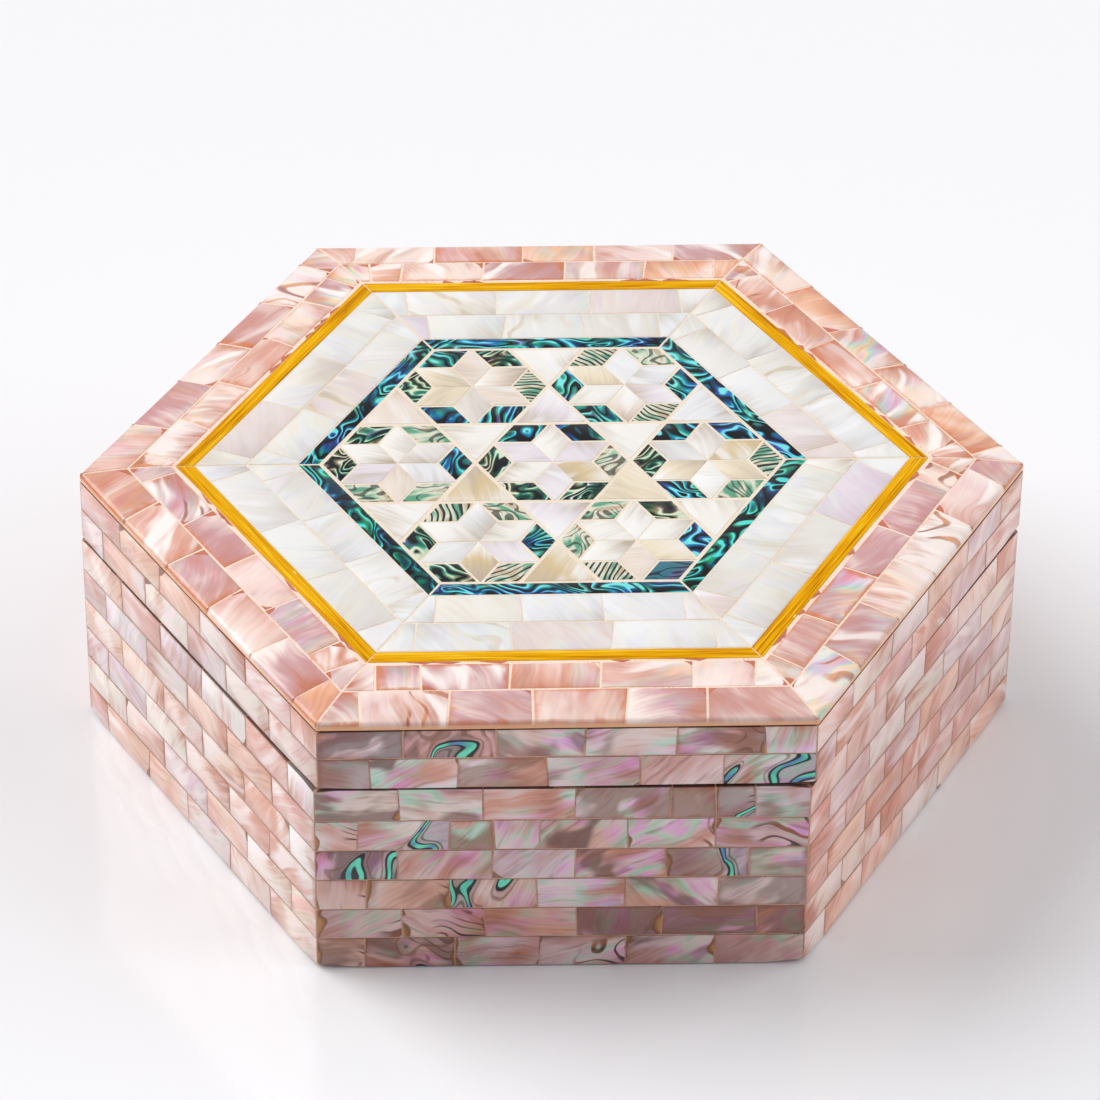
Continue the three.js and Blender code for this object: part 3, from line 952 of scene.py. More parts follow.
def white_nacre(name, tones, contrast):
    """White nacre, a little yellow or grey from tile to tile."""
    return nacre(
        name,
        tones,
        bend=2.0,
        cloud_rates=(0.07, 0.13),
        streak_rates=(0.06, 0.38),
        pastels=SILVERS,
        iridescence=0.6,
        cloud=0.5 * contrast,
        streak=0.5 * contrast,
        fine=0.25 * contrast,
        slope=0.9 * contrast,
        pale=srgb(243, 241, 238),
        deep=srgb(190, 174, 156),
        flash=0.6,
        flash_from=0.53,
        flash_colour=srgb(244, 244, 245),
        ring_rate=3.0,
        vein_colour=srgb(190, 166, 126),
        vein_pale=srgb(222, 204, 168),
        edge=0.3,
        edge_width=0.8,
        edge_colour=srgb(222, 200, 172),
    )[0]


WHITES = (
    (224, 219, 212), (236, 234, 231), (228, 228, 230), (233, 231, 228), (236, 230, 220),
    (230, 226, 222), (226, 210, 206), (234, 234, 234), (231, 229, 224), (222, 206, 218),
)
STAR_WHITES = (
    (220, 211, 204), (236, 230, 220), (226, 226, 229), (239, 235, 229), (230, 215, 202),
    (226, 217, 223), (237, 233, 226), (231, 217, 190), (220, 219, 218), (212, 190, 148),
)


def golden():
    """The gold-coloured strip: deep yellow with fine lines along it, and small pinholes."""
    material, make, shader = principled("Gold strip")
    tile = TileFrame(make)
    place = make.join(tile.u * 0.06, tile.v * 2.2, tile.draws[0] * 50)
    lines = make.noise(place, detail=3.0, roughness=0.6)
    place = make.join(tile.u * 0.03, tile.v * 0.4, tile.draws[1] * 50)
    long_change = make.noise(place, detail=2.0)
    colour = make.colours(
        lines * 0.7 + long_change * 0.3,
        (
            (0.38, (180, 110, 0)), (0.46, (218, 152, 0)), (0.55, (232, 172, 6)),
            (0.64, (243, 200, 52)),
        ),
    )
    place = make.join(tile.u * 0.06, tile.v * 0.3, tile.draws[2] * 50)
    cell = {"Vector": place, "Scale": 1.0}
    spot = make.add("ShaderNodeTexVoronoi", {"feature": "F1"}, cell, out="Distance")
    colour = make.mix(spot.ramp(0.05, 0.035), colour, srgb(250, 226, 160))
    edge = tile.edge().ramp(0.4, 0.0)
    colour = make.mix(edge * 0.4, colour, srgb(190, 120, 6))
    bump = make.relief(0.15, 0.05, lines)
    feed(make, shader, Base_Color=colour, Roughness=0.35 + lines * 0.2, Normal=bump)
    feed(make, shader, Specular_IOR_Level=0.04, Coat_Weight=0.08, Coat_Roughness=0.05)
    return material


def filler(name, colour, darker, paler, grain=0.6, rim_height=None):
    """Grout or putty, with fine grain and slow changes of colour, and tan below a rim."""
    material, make, shader = principled(name)
    place = make.place()
    slow = make.noise(make.scaled(place, 0.12 / MM), detail=3.0)
    quick = make.noise(make.scaled(place, 2.0 / MM), detail=3.0)
    tone = slow * (1 - grain) + quick * grain
    shown = make.mix(tone.ramp(0.5, 0.75), colour, paler)
    shown = make.mix(tone.ramp(0.5, 0.25), shown, darker)
    if rim_height:
        rim = make.height().ramp(rim_height + 0.2, rim_height - 0.2)
        shown = make.mix(rim, shown, RIM_TAN)
    bump = make.relief(0.3, 0.06, quick)
    feed(make, shader, Base_Color=shown, Roughness=0.45 + quick * 0.2, Normal=bump)
    feed(make, shader, Coat_Weight=0.4, Coat_Roughness=0.1)
    return material


def carcass_wood():
    """Stained wood with a long grain, for the case, its floor and the underside."""
    material, make, shader = principled("Stained wood")
    parts = make.add("ShaderNodeSeparateXYZ", None, {0: make.place()}, out=None)
    x, y, z = [Signal(make, parts.outputs[index]) / MM for index in range(3)]
    drawn_out = make.join(x * 0.02, y * 0.4, z * 0.4)
    grain = make.noise(drawn_out, detail=5.0, roughness=0.6, distortion=0.4)
    pores = make.noise(make.join(x * 0.12, y * 2.5, z * 2.5), detail=2.0)
    colour = make.colours(
        grain * 0.8 + pores * 0.2,
        (
            (0.3, (72, 42, 24)), (0.5, (112, 72, 44)), (0.7, (146, 100, 64)),
        ),
    )
    bump = make.relief(0.25, 0.1, grain + pores * 0.5)
    feed(make, shader, Base_Color=colour, Roughness=0.4 + pores * 0.25, Normal=bump)
    feed(make, shader, Coat_Weight=0.3, Coat_Roughness=0.15)
    return material


# Settings a user would change
class ShellBoxSettings(bpy.types.PropertyGroup):
    """Sizes and colours of the tile work."""

    seed: IntProperty(name="Seed", description="Picks the grain of every tile", default=7)
    edge_rounding: FloatProperty(
        name="Edge rounding", description="Rounding of a tile's edges, in mm", default=0.1, min=0.0
    )
    joint_depth: FloatProperty(
        name="Joint depth", description="How far grout lies below the tiles, in mm", default=0.1
    )
    side_joint: FloatProperty(
        name="Side joint", description="Grout between bricks of the sides, in mm", default=0.34
    )
    border_joint: FloatProperty(
        name="Border joint", description="Grout between bricks of the border, in mm", default=0.5
    )
    white_joint: FloatProperty(
        name="White joint", description="Grout between white tiles, in mm", default=0.34
    )
    field_joint: FloatProperty(
        name="Field joint", description="Grout round each star and triangle, in mm", default=1.05
    )
    star_joint: FloatProperty(
        name="Star joint", description="Grout between the rhombs of a star, in mm", default=0.26
    )
    side_grout: FloatVectorProperty(
        name="Side grout", description="Colour of the grout on the sides", subtype="COLOR",
        size=4, default=srgb(200, 150, 126),
    )
    border_grout: FloatVectorProperty(
        name="Border grout", description="Colour of the grout in the border", subtype="COLOR",
        size=4, default=srgb(248, 220, 200),
    )
    top_grout: FloatVectorProperty(
        name="Top grout", description="Colour of the grout in the rings and the star field",
        subtype="COLOR", size=4, default=srgb(236, 220, 200),
    )


def settings():
    """The sizes and colours in use."""
    return bpy.context.scene.shell_box


FINISHES = {}


def finished(key):
    """A finish by its name, made once."""
    sizes = settings()
    makers = {
        "rosy": rosy_nacre,
        "pink": pink_nacre,
        "white": lambda: white_nacre("White nacre", WHITES, 0.7),
        "star": lambda: white_nacre("Star nacre", STAR_WHITES, 1.3),
        "abalone": lambda: abalone("Abalone strip"),
        "abalone rhomb": lambda: abalone("Abalone rhomb", True),
        "gold": golden,
        "side grout": lambda: filler(
            "Side grout", tuple(sizes.side_grout), srgb(98, 58, 42), srgb(222, 186, 168), grain=0.35
        ),
        "side putty": lambda: filler(
            "Side putty", srgb(150, 104, 84), srgb(104, 60, 40), srgb(190, 146, 122)
        ),
        "border grout": lambda: filler(
            "Border grout", tuple(sizes.border_grout), srgb(222, 160, 128), srgb(254, 238, 226),
            rim_height=HEIGHT - BORDER_DROP - 0.9,
        ),
        "border putty": lambda: filler(
            "Border putty", srgb(198, 110, 84), srgb(164, 86, 62), srgb(218, 146, 120)
        ),
        "top grout": lambda: filler(
            "Top grout", tuple(sizes.top_grout), srgb(222, 200, 176), srgb(246, 236, 222)
        ),
        "wood": carcass_wood,
    }
    if key not in FINISHES:
        FINISHES[key] = makers[key]()
    return FINISHES[key]


# Outlines of bricks
def jittered(outline, rng, amount):
    """The outline with each corner moved a little, as a saw leaves it."""
    def stray():
        return rng.uniform(-amount, amount)

    return [(x + stray(), y + stray()) for x, y in outline]


def cut_row(low, high, joints, ends, rng, joint, lean):
    """Cuts a row between two levels into bricks, by joints that stand a little askew. Gives each
    brick's outline from its lower left corner, anticlockwise, and whether it is the first or the
    last."""
    cuts = []
    for place in joints:
        askew = rng.uniform(-lean, lean)
        gap = joint * rng.uniform(0.75, 1.25)
        cuts.append((place - askew, place + askew, gap / 2))
    lefts = [ends(-1, low, high)] + [(foot + half, head + half) for foot, head, half in cuts]
    rights = [(foot - half, head - half) for foot, head, half in cuts] + [ends(1, low, high)]
    found = []
    for index, (left, right) in enumerate(zip(lefts, rights)):
        outline = [(left[0], low), (right[0], low), (right[1], high), (left[1], high)]
        found.append((outline, index == 0, index == len(cuts)))
    return found


def at_mitre(index, first, last):
    """Whether a corner of a brick lies on a mitre, as in the first or the last of a row."""
    return (first and index in (0, 3)) or (last and index in (1, 2))


def break_corner(outline, corner, rng, reach):
    """Breaks off one corner of a brick. Returns the brick and the putty that fills the corner."""
    count = len(outline)
    here = Vector(outline[corner])
    before = Vector(outline[corner - 1])
    after = Vector(outline[(corner + 1) % count])
    most = 0.4
    along = [min(rng.uniform(*reach), (other - here).length * most) for other in (before, after)]
    first = here + (before - here).normalized() * along[0]
    second = here + (after - here).normalized() * along[1]
    halfway = (first + second) / 2
    middle = halfway + (here - halfway) * rng.uniform(-0.25, 0.35)
    broken = outline[:corner] + [tuple(first), tuple(middle), tuple(second)] + outline[corner + 1:]
    shrink = 0.06
    fill = [first.lerp(here, shrink), here, second.lerp(here, shrink), middle.lerp(here, shrink)]
    return broken, [tuple(point) for point in fill]


def upright_ends(way, low, high):
    """The ends of a row on an upright side, at the mitre of the bricks' backs."""
    place = way * (BRICK_BACK * TAN_30 - CORNER_LINE)
    return (place, place)


def mitred_ends(way, low, high):
    """The ends of a row on the lid's top, along the mitres."""
    return (way * (low * TAN_30 - MITRE_JOINT), way * (high * TAN_30 - MITRE_JOINT))


def with_corner_cut(outline, first, last, level, rise, low_corners):
    """Lets the lowest row run up, or the highest one down, over its last few millimetres towards
    a corner."""
    run = CORNER_RUN if low_corners else CORNER_RUN / 2
    left_low, right_low, right_high, left_high = outline
    if low_corners:
        lower = [left_low, right_low]
        if first and right_low[0] - left_low[0] > run:
            lower = [(left_low[0], level + rise), (left_low[0] + run, level), right_low]
        if last and right_low[0] - left_low[0] > run:
            lower = lower[:-1] + [(right_low[0] - run, level), (right_low[0], level + rise)]
        return lower + [right_high, left_high]
    upper = [right_high, left_high]
    if last and right_high[0] - left_high[0] > run:
        upper = [(right_high[0], level - rise), (right_high[0] - run, level), left_high]
    if first and right_high[0] - left_high[0] > run:
        upper = upper[:-1] + [(left_high[0] + run, level), (left_high[0], level - rise)]
    return [left_low, right_low] + upper


def side_row(bricks, putty, side, row, levels, joints):
    """Lays one row of bricks on an upright side, with the putty of its broken corners."""
    rng = bricks.rng
    gap = settings().side_joint
    low, high = levels[row + 1], levels[row]
    lowest, highest = row == len(levels) - 2, row == 0
    foot = low if lowest else low + gap / 2
    head = high if highest else high - gap / 2
    mitre = BRICK_BACK * TAN_30 - CORNER_LINE - AT_EDGE
    for outline, first, last in cut_row(foot, head, joints, upright_ends, rng, gap, SIDE_LEAN):
        moved = jittered(outline, rng, SIDE_STRAY)
        for index, (x, _) in enumerate(outline):
            if at_mitre(index, first, last):
                moved[index] = (x, moved[index][1])
        if lowest and (first or last):
            rise = LID_CORNER_RISE if bricks.lid else CORNER_RISE
            moved = with_corner_cut(moved, first, last, low, rise, True)
        elif highest and not bricks.lid and (first or last):
            moved = with_corner_cut(moved, first, last, high, RIM_DIP, False)
        if not (first or last) and rng.random() < SIDE_CHIPS:
            moved, fill = break_corner(moved, rng.randrange(4), rng, SIDE_CHIP_REACH)
            putty.add(side, fill)
        ends = {
            index: math.copysign(1, x) for index, (x, _) in enumerate(moved) if abs(x) > mitre
        }
        look = side_look(side, (low + high) / 2 / HEIGHT, rng)
        bricks.add(side, moved, rng.gauss(*SIDE_GRAIN), ends, list(ends), look=look)


def upright_panels(name, levels, seed, lid, splits):
    """Bricks, putty and grout of the six upright panels between the given levels."""
    bricks = Sheet(True, BRICK_BACK, lid, seed)
    putty = Sheet(True, BRICK_BACK, lid, seed + 1)
    bed = Sheet(True, SIDE_BED, lid, seed + 2)
    for side in range(6):
        for row in range(len(levels) - 1):
            split = splits[row] if side == 0 and row < len(splits) else None
            row_seed = seed + SIDE_STEP * side + ROW_STEP * row
            joints = row_joints(SIDE_HALF, ROW_STARTS[row % 2], BRICK_LENGTH, row_seed, split)
            side_row(bricks, putty, side, row, levels, joints)
        add_bed_panel(bed, side, levels[-1], levels[0])
    shown = raise_plates(
        f"{name}_bricks", bricks, finished("rosy"), BRICK_THICKNESS, unevenness=BRICK_UNEVENNESS
    )
    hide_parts(*[f"{name}_tiles_{side}" for side in SIDES])
    thickness = BRICK_THICKNESS - SIDE_PUTTY_DEPTH
    fills = raise_plates(f"{name}_putty", putty, finished("side putty"), thickness, rounding=0.0)
    thickness = FACE - SIDE_BED - settings().joint_depth
    grout = raise_plates(f"{name}_grout", bed, finished("side grout"), thickness, rounding=0.0)


def side_look(side, height_share, rng):
    """How a brick of a side looks: the front is the show side, with iridescent and smoky shell,
    and a painted shade that makes it darker and browner towards its foot. The other sides are
    plainer, and rosier on the right."""
    change = rng.uniform(-0.25, 0.25)
    if side:
        return (rng.uniform(0.0, 0.2), 0.0, 0.0, ROSINESS[side] + change)
    eye = rng.random() < EYE_CHANCE
    ringed = rng.random() < RINGED_CHANCE
    # On the front the fourth number is a painted shade, strongest at the foot.
    return (rng.uniform(0.6, 1.0), 0.95 * ringed, 1.0 * eye, 0.6 - 0.8 * height_share + change)


def add_bed_panel(bed, side, bottom, top):
    """The grout bed of one upright panel, with the same cut corners as its bricks."""
    half = SIDE_BED * TAN_30 - AT_EDGE
    rise = LID_CORNER_RISE if bed.lid else CORNER_RISE
    dip = 0.0 if bed.lid else RIM_DIP
    outline = [
        (-half, bottom + rise + BED_INSET),
        (-half + CORNER_RUN, bottom + BED_INSET),
        (half - CORNER_RUN, bottom + BED_INSET),
        (half, bottom + rise + BED_INSET),
        (half, top - dip - BED_INSET),
        (half - CORNER_RUN / 2, top - BED_INSET),
        (-half + CORNER_RUN / 2, top - BED_INSET),
        (-half, top - dip - BED_INSET),
    ]
    ends = {index: math.copysign(1, outline[index][0]) for index in (0, 3, 4, 7)}
    bed.add(side, outline, 0.0, ends)


def border_levels(side):
    """The two rows of the border: their inner and outer distances, their joints, and whether the
    row is the outermost."""
    half_joint = settings().border_joint / 2
    seed = BORDER_SEED + SIDE_STEP * side
    inner_half = (STRIP_OUTER + BORDER_MIDDLE) / 2 * TAN_30
    outer_half = (FACE + BORDER_MIDDLE) / 2 * TAN_30
    corner = inner_half - BORDER_CORNER_PIECE
    starts = (BORDER_INNER_STARTS[side % 2], BORDER_OUTER_STARTS[side % 2])
    inner_joints = row_joints(inner_half, starts[0], BORDER_BRICK, seed)
    outer_joints = row_joints(outer_half, starts[1], BORDER_BRICK, seed + ROW_STEP)
    inner = STRIP_OUTER + BORDER_BAND
    return (
        (inner, BORDER_MIDDLE - half_joint, [-corner, *inner_joints, corner], False),
        (BORDER_MIDDLE + half_joint, FACE, outer_joints, True),
    )


def putty_lens(rng):
    """A lens of putty that fills a hollow beside a gold strip."""
    length = rng.uniform(2.5, 7.0)
    middle = rng.uniform(-0.85, 0.85) * STRIP_OUTER * TAN_30
    deep = rng.uniform(0.75, 1.15)
    tips = LENS_NEAR + 0.1
    return [
        (middle - length / 2, tips),
        (middle + length * rng.uniform(-0.3, 0.0), LENS_NEAR),
        (middle + length / 2, tips),
        (middle + length * rng.uniform(0.0, 0.3), LENS_NEAR + deep),
    ]


def border_row(bricks, putty, side, low, high, joints, outermost):
    """Lays one row of the border on one side, with the putty of its broken corners."""
    rng = bricks.rng
    gap = settings().border_joint
    for outline, first, last in cut_row(low, high, joints, mitred_ends, rng, gap, BORDER_LEAN):
        moved = jittered(outline, rng, BORDER_STRAY)
        for index, (x, y) in enumerate(outline):
            mitred = at_mitre(index, first, last)
            if mitred or (outermost and index in (2, 3)):
                moved[index] = (x if mitred else moved[index][0], y)
        if rng.random() < (MITRE_CHIPS if first or last else BORDER_CHIPS):
            corner = rng.choice((0, 1) if outermost else (0, 1, 2, 3))
            moved, fill = break_corner(moved, corner, rng, BORDER_CHIP_REACH)
            putty.add(side, fill)
        rims = [index for index, (_, y) in enumerate(moved) if y > FACE - AT_EDGE]
        shine = 1.0 if rng.random() < SHINY_CHANCE else rng.uniform(0.05, 0.4)
        lined = 0.8 * (rng.random() < LINED_CHANCE)
        bricks.add(side, moved, rng.gauss(*BORDER_GRAIN), (), rims, look=(shine, lined, 0, 0))


def border():
    """The pink border, its grout and its brown putty."""
    bricks_seed, putty_seed, bed_seed = BORDER_SHEETS
    bricks = Sheet(False, TILE_LEVEL, seed=bricks_seed)
    putty = Sheet(False, TILE_LEVEL, seed=putty_seed)
    bed = Sheet(False, BORDER_UNDER + BORDER_DROP + LID_RISE, seed=bed_seed)
    for side in range(6):
        for low, high, joints, outermost in border_levels(side):
            border_row(bricks, putty, side, low, high, joints, outermost)
        section = ring_section(STRIP_INNER + BED_INSET, FACE - BORDER_BED_INSET, BED_MITRE)
        bed.add(side, section, rims=(2, 3))
        for _ in range(LENSES_PER_SIDE):
            putty.add(side, putty_lens(bricks.rng))
    shown = raise_plates(
        "border_bricks", bricks, finished("pink"), TILE_THICKNESS,
        unevenness=BRICK_UNEVENNESS, drop=BORDER_DROP, cuts=2, segments=3,
    )
    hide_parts(*[f"border_tiles_{side}" for side in SIDES])
    fills = raise_plates(
        "border_putty", putty, finished("border putty"), TILE_THICKNESS - BORDER_PUTTY_DEPTH,
        rounding=0.0, drop=BORDER_DROP, cuts=1,
    )
    thickness = HEIGHT - settings().joint_depth - bed.level
    grout = raise_plates(
        "border_grout", bed, finished("border grout"), thickness,
        drop=BORDER_DROP, cuts=3, segments=3,
    )


def ring_section(inner, outer, half_gap):
    """A mitred flat outline between two distances out."""
    a, b = inner * TAN_30 - half_gap, outer * TAN_30 - half_gap
    return [(-a, inner), (a, inner), (b, outer), (-b, outer)]


def gold_strips():
    """Six gold-coloured strips whose edges waver a little."""
    strips = Sheet(False, TILE_LEVEL, seed=GOLD_SHEET)
    rng = strips.rng

    def wavering(start, end, amount):
        reach = end[0] - start[0]
        places = [start[0] + reach * k / WAVER_STEPS for k in range(WAVER_STEPS + 1)]
        return [(place, start[1] + rng.uniform(-amount, amount)) for place in places]

    a, b, c, d = ring_section(STRIP_INNER, STRIP_OUTER + STRIP_EXTRA, STRIP_MITRE)
    for side in range(6):
        strips.add(side, wavering(a, b, INNER_WAVER) + wavering(c, d, OUTER_WAVER), 0.0)
    shown = raise_plates("gold_strips", strips, finished("gold"), TILE_THICKNESS)
    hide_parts(*[f"gold_strip_{side}" for side in SIDES])


def abalone_strips():
    """Six strips of abalone, mitred."""
    strips = Sheet(False, TILE_LEVEL, seed=ABALONE_SHEET)
    inner, outer = ABALONE_INNER - ABALONE_EXTRA[0], ABALONE_OUTER + ABALONE_EXTRA[1]
    section = ring_section(inner, outer, ABALONE_MITRE)
    for side, green in enumerate(GREEN_SHARES):
        strips.add(side, section, strips.rng.gauss(*ABALONE_GRAIN), look=(0, 0, green, 0))
    shown = raise_plates("abalone_strips", strips, finished("abalone"), TILE_THICKNESS)
    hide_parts(*[f"abalone_strip_{side}" for side in SIDES])


def white_ring():
    """The white ring: two rows of tiles on their grout."""
    sizes = settings()
    gap = sizes.white_joint
    tiles_seed, bed_seed = WHITE_SHEETS
    tiles = Sheet(False, TILE_LEVEL, seed=tiles_seed)
    bed = Sheet(False, HEIGHT - VENEER, seed=bed_seed)
    rng = tiles.rng
    inner, outer = ABALONE_OUTER + WHITE_BED_INSET, STRIP_INNER - BED_INSET
    middle = (inner + outer) / 2
    inner_inset, outer_inset = WHITE_INSETS
    levels = ((inner + inner_inset, middle - gap / 2), (middle + gap / 2, outer - outer_inset))
    for side in range(6):
        for index, (low, high) in enumerate(levels):
            seed = WHITE_SEED + SIDE_STEP * side + ROW_STEP * index
            joints = [k * WHITE_TILES[index] + unevenness(seed + k) for k in WHITE_JOINTS]
            for outline, _, _ in cut_row(low, high, joints, mitred_ends, rng, gap, WHITE_LEAN):
                moved = jittered(outline, rng, WHITE_STRAY)
                look = (rng.uniform(0.2, 1.0), 0.5 * (rng.random() < LINED_CHANCE), 0, 0)
                tiles.add(side, moved, rng.gauss(*WHITE_GRAIN), look=look)
        bed.add(side, ring_section(inner, outer, BED_MITRE))
    shown = raise_plates(
        "white_tiles", tiles, finished("white"), TILE_THICKNESS, unevenness=TILE_UNEVENNESS
    )
    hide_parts(*[f"white_tiles_{side}" for side in SIDES])
    thickness = VENEER - sizes.joint_depth
    grout = raise_plates("white_grout", bed, finished("top grout"), thickness, rounding=0.0)


def polar(radius, sixths):
    """A point in plan as (along, distance towards the front)."""
    return Vector((radius * math.cos(sixths * SIXTH), -radius * math.sin(sixths * SIXTH)))


def drawn_in(outline, in_radius, amount):
    """An outline that has an inscribed circle, drawn in evenly."""
    middle = sum(outline, Vector((0, 0))) / len(outline)
    return [point.lerp(middle, amount / in_radius) for point in outline]


def loosened(outline, rng, turn, slide):
    """The outline turned and slid a little, as it was set by hand."""
    middle = sum(outline, Vector((0, 0))) / len(outline)
    rotation = Matrix.Rotation(rng.uniform(-turn, turn), 2)
    step = Vector((rng.uniform(-slide, slide), rng.uniform(-slide, slide)))
    return [tuple(rotation @ (point - middle) + middle + step) for point in outline]


def star_rhombs(rays, notches):
    """The six white rhombs and the six abalone ones of each of the seven stars."""
    sizes = settings()
    a = FIELD_RHOMB
    rhomb_radius = a * COS_30 / 2
    tip = a * ROOT_3
    centres = [Vector((0, 0))] + [polar(4 * a, k) for k in range(6)]
    for centre in centres:
        for k in range(6):
            ray = [Vector((0, 0)), polar(a, k), polar(tip, k + 0.5), polar(a, k + 1)]
            notch = [polar(a, k), polar(tip, k - 0.5), polar(2 * a, k), polar(tip, k + 0.5)]
            ray = drawn_in([centre + p for p in ray], rhomb_radius, sizes.star_joint / 2)
            notch = drawn_in([centre + p for p in notch], rhomb_radius, sizes.field_joint / 2)
            ray = loosened(ray, rays.rng, STAR_TURN / 2, STAR_SLIDE / 2)
            rays.add(0, ray, long_axis=(k + 0.5) * SIXTH)
            notch = loosened(notch, notches.rng, STAR_TURN, STAR_SLIDE)
            notches.add(0, notch, long_axis=k * SIXTH + SIXTH * 1.5)


def star_triangles(triangles):
    """The twelve white triangles between the stars."""
    in_radius = FIELD_RHOMB * TAN_30
    for k in range(6):
        for radius, turned in ((2 * FIELD_RHOMB, 0), (4 * FIELD_RHOMB, 1)):
            middle = polar(2 * radius * TAN_30, k + 0.5)
            corners = [polar(2 * in_radius, k + 0.5 + 2 * j + turned) for j in range(3)]
            outline = [middle + corner for corner in corners]
            outline = drawn_in(outline, in_radius, settings().field_joint / 2)
            triangles.add(0, loosened(outline, triangles.rng, STAR_TURN / 2, STAR_SLIDE))


def star_field():
    """Seven stars and twelve triangles on one bed of grout."""
    rays, notches, triangles = (Sheet(False, TILE_LEVEL, seed=seed) for seed in STAR_SHEETS)
    star_rhombs(rays, notches)
    star_triangles(triangles)
    bed = Sheet(False, HEIGHT - VENEER, seed=FIELD_SHEET)
    edge = (ABALONE_OUTER + FIELD_BED_EXTRA) / COS_30
    bed.add(0, [tuple(polar(edge, k)) for k in range(6)])
    laid = {"thickness": TILE_THICKNESS, "unevenness": TILE_UNEVENNESS}
    shown = raise_plates("star_rays", rays, finished("star"), **laid)
    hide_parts(*[f"star_{name}" for name in STARS])
    shown = raise_plates("star_notches", notches, finished("abalone rhomb"), **laid)
    shown = raise_plates("white_triangles", triangles, finished("star"), **laid)
    names = [f"triangle_{ring}_{k + 1}" for ring in ("inner", "outer") for k in range(6)]
    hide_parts(*names)
    thickness = VENEER - settings().joint_depth
    grout = raise_plates("field_grout", bed, finished("top grout"), thickness, rounding=0.0)


def carcasses():
    """The wooden base and lid keep their solids, in stained wood."""
    for name in ("base_carcass", "lid_carcass"):
        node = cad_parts[name]
        node.data.materials.clear()
        node.data.materials.append(finished("wood"))


# Camera and light
CAMERA_DISTANCE = 1.2217
CAMERA_ELEVATION = math.radians(36.28)
CAMERA_AZIMUTH = math.radians(-1.98)
CAMERA_ROLL = math.radians(0.68)
CAMERA_TARGET = Vector((-0.0014, -0.0347, 0.0722))
CAMERA_LENS = 176.0
SENSOR = 36.0
FLOOR_REACH = 6.0
FLOOR_COLOUR = (0.88, 0.88, 0.9, 1)
SKY_COLOUR = (0.98, 0.98, 1.0, 1)
SKY_STRENGTH = 0.4


def camera():
    """The camera at the photograph's angle."""
    back = Vector((
        math.sin(CAMERA_AZIMUTH) * math.cos(CAMERA_ELEVATION),
        -math.cos(CAMERA_AZIMUTH) * math.cos(CAMERA_ELEVATION),
        math.sin(CAMERA_ELEVATION),
    ))
    level = Vector((0, 0, 1)).cross(back).normalized()
    upward = back.cross(level)
    right = level * math.cos(CAMERA_ROLL) + upward * math.sin(CAMERA_ROLL)
    up = upward * math.cos(CAMERA_ROLL) - level * math.sin(CAMERA_ROLL)
    lens = bpy.data.cameras.new("camera")
    lens.lens = CAMERA_LENS
    lens.sensor_fit = "HORIZONTAL"
    lens.sensor_width = SENSOR
    lens.clip_end = 50
    view = bpy.data.objects.new("camera", lens)
    turned = Matrix((right, up, back)).transposed().to_4x4()
    view.matrix_world = Matrix.Translation(CAMERA_TARGET + back * CAMERA_DISTANCE) @ turned
    bpy.context.scene.collection.objects.link(view)
    bpy.context.scene.camera = view


def soft_sun(name, toward, strength, spread):
    """A wide even light from a direction, spread in degrees. A strength of 1 lights white to full
    white."""
    lamp = bpy.data.lights.new(name, "SUN")
    lamp.energy = strength * math.pi
    lamp.angle = math.radians(spread)
    holder = bpy.data.objects.new(name, lamp)
    turned = (-Vector(toward)).to_track_quat("-Z", "Y").to_matrix().to_4x4()
    holder.matrix_world = Matrix.Translation(Vector(toward)) @ turned
    bpy.context.scene.collection.objects.link(holder)


def stage():
    """A pale floor, wide soft light from the left and the right, and a pale sky."""
    scene = bpy.context.scene
    scene.view_settings.view_transform = "Standard"
    material, make, shader = principled("Floor")
    slow = make.noise(make.place(), detail=2.0)
    feed(make, shader, Base_Color=FLOOR_COLOUR, Roughness=0.1 + slow * 0.04)
    mesh = bpy.data.meshes.new("floor")
    corners = [(FLOOR_REACH * x, FLOOR_REACH * y, 0) for x, y in ((-1, -1), (1, -1), (1, 1), (-1, 1))]
    mesh.from_pydata(corners, [], [(0, 1, 2, 3)])
    mesh.materials.append(material)
    floor = bpy.data.objects.new("floor", mesh)
    scene.collection.objects.link(floor)
    world = bpy.data.worlds.new("Pale sky")
    world.use_nodes = True
    background = world.node_tree.nodes["Background"]
    background.inputs["Color"].default_value = SKY_COLOUR
    background.inputs["Strength"].default_value = SKY_STRENGTH
    scene.world = world
    soft_sun("left light", toward=(-0.68, 0.34, 0.65), strength=0.8, spread=46)
    soft_sun("right light", toward=(0.8, 0.02, 0.6), strength=0.36, spread=60)


# Operators
class SHELLBOX_OT_stage(bpy.types.Operator):
    """Make the camera, the floor and the lights"""

    bl_idname = "shellbox.stage"
    bl_label = "Stage"

    def execute(self, context):
        camera()
        stage()
        return {"FINISHED"}


class SHELLBOX_OT_carcass(bpy.types.Operator):
    """Give the wooden base and lid their finish"""

    bl_idname = "shellbox.carcass"
    bl_label = "Wood"

    def execute(self, context):
        carcasses()
        return {"FINISHED"}


class SHELLBOX_OT_base(bpy.types.Operator):
    """Lay the bricks on the sides of the base"""

    bl_idname = "shellbox.base"
    bl_label = "Base bricks"

    def execute(self, context):
        row = (BASE_TOP - BASE_BOTTOM) / BASE_ROWS
        levels = [BASE_TOP - k * row for k in range(BASE_ROWS + 1)]
        levels[0] += BASE_RISE
        upright_panels("base", levels, BASE_SEED, False, SPLIT_BRICKS)
        return {"FINISHED"}


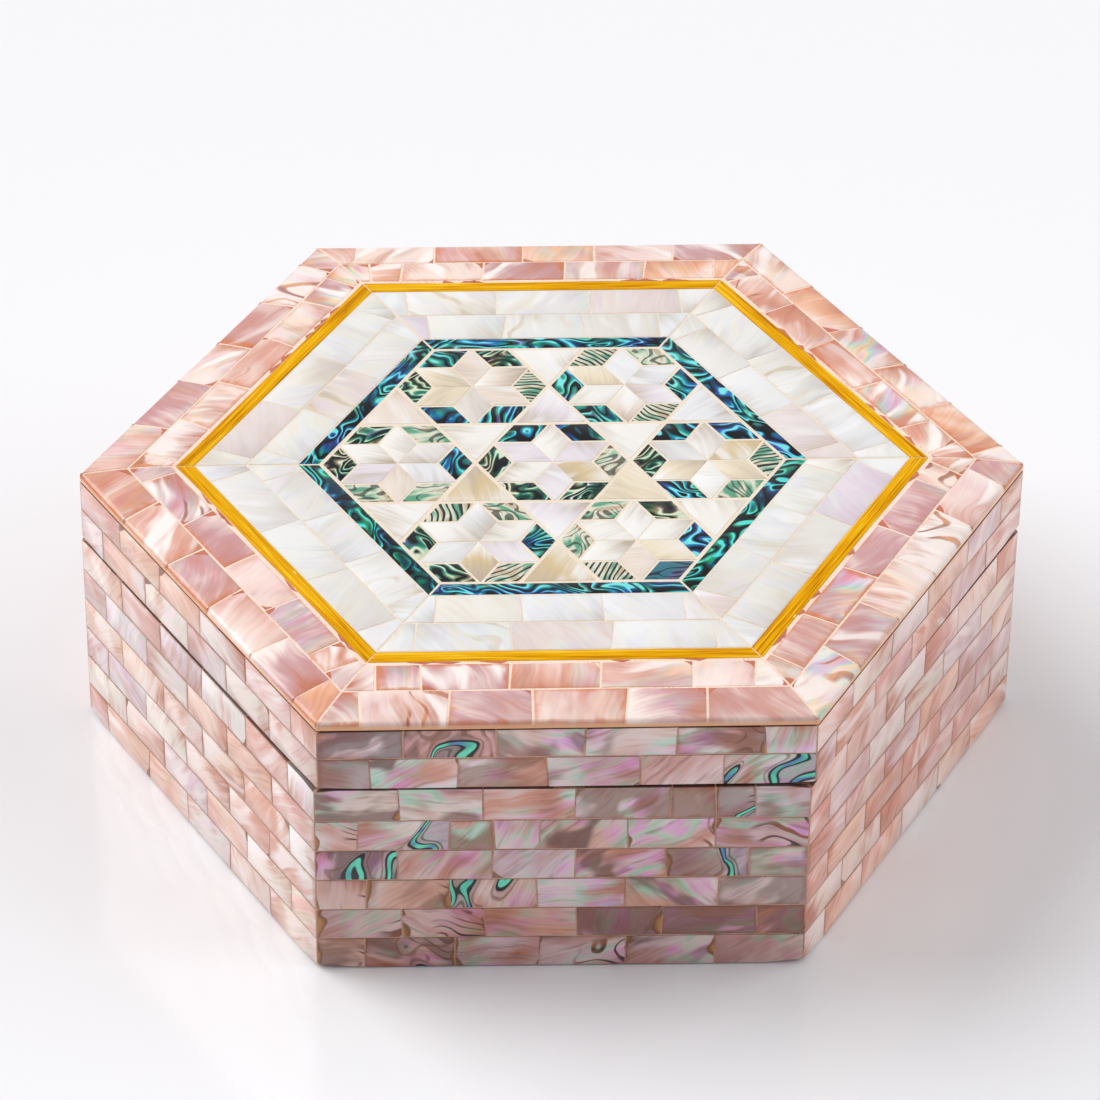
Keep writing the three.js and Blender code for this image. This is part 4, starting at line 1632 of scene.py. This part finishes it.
class SHELLBOX_OT_lid(bpy.types.Operator):
    """Lay the bricks on the sides of the lid"""

    bl_idname = "shellbox.lid"
    bl_label = "Lid bricks"

    def execute(self, context):
        levels = [LID_TOP + LID_RISE, LID_ROW_TOP, LID_BOTTOM]
        upright_panels("lid", levels, LID_SEED, True, ())
        return {"FINISHED"}


class SHELLBOX_OT_border(bpy.types.Operator):
    """Lay the pink border of the lid's top"""

    bl_idname = "shellbox.border"
    bl_label = "Border"

    def execute(self, context):
        border()
        return {"FINISHED"}


class SHELLBOX_OT_strips(bpy.types.Operator):
    """Lay the gold-coloured and the abalone strips"""

    bl_idname = "shellbox.strips"
    bl_label = "Strips"

    def execute(self, context):
        gold_strips()
        abalone_strips()
        return {"FINISHED"}


class SHELLBOX_OT_white(bpy.types.Operator):
    """Lay the white ring"""

    bl_idname = "shellbox.white"
    bl_label = "White ring"

    def execute(self, context):
        white_ring()
        return {"FINISHED"}


class SHELLBOX_OT_stars(bpy.types.Operator):
    """Lay the stars and the triangles"""

    bl_idname = "shellbox.stars"
    bl_label = "Star field"

    def execute(self, context):
        star_field()
        return {"FINISHED"}


OPERATORS = (
    SHELLBOX_OT_stage,
    SHELLBOX_OT_carcass,
    SHELLBOX_OT_base,
    SHELLBOX_OT_lid,
    SHELLBOX_OT_border,
    SHELLBOX_OT_strips,
    SHELLBOX_OT_white,
    SHELLBOX_OT_stars,
)


class SHELLBOX_PT_panel(bpy.types.Panel):
    """The box's pieces, in the order they are made"""

    bl_label = "Shell box"
    bl_idname = "SHELLBOX_PT_panel"
    bl_space_type = "VIEW_3D"
    bl_region_type = "UI"
    bl_category = "Shell box"

    def draw(self, context):
        for operator in OPERATORS:
            self.layout.operator(operator.bl_idname)
        for name in ShellBoxSettings.__annotations__:
            self.layout.prop(context.scene.shell_box, name)


def register():
    for each in (ShellBoxSettings, *OPERATORS, SHELLBOX_PT_panel):
        bpy.utils.register_class(each)
    bpy.types.Scene.shell_box = PointerProperty(type=ShellBoxSettings)


def unregister():
    del bpy.types.Scene.shell_box
    for each in reversed((ShellBoxSettings, *OPERATORS, SHELLBOX_PT_panel)):
        bpy.utils.unregister_class(each)


def main():
    """Makes the stage and every piece."""
    register()
    for operator in OPERATORS:
        family, name = operator.bl_idname.split(".")
        getattr(getattr(bpy.ops, family), name)()


if __name__ == "__main__":
    main()
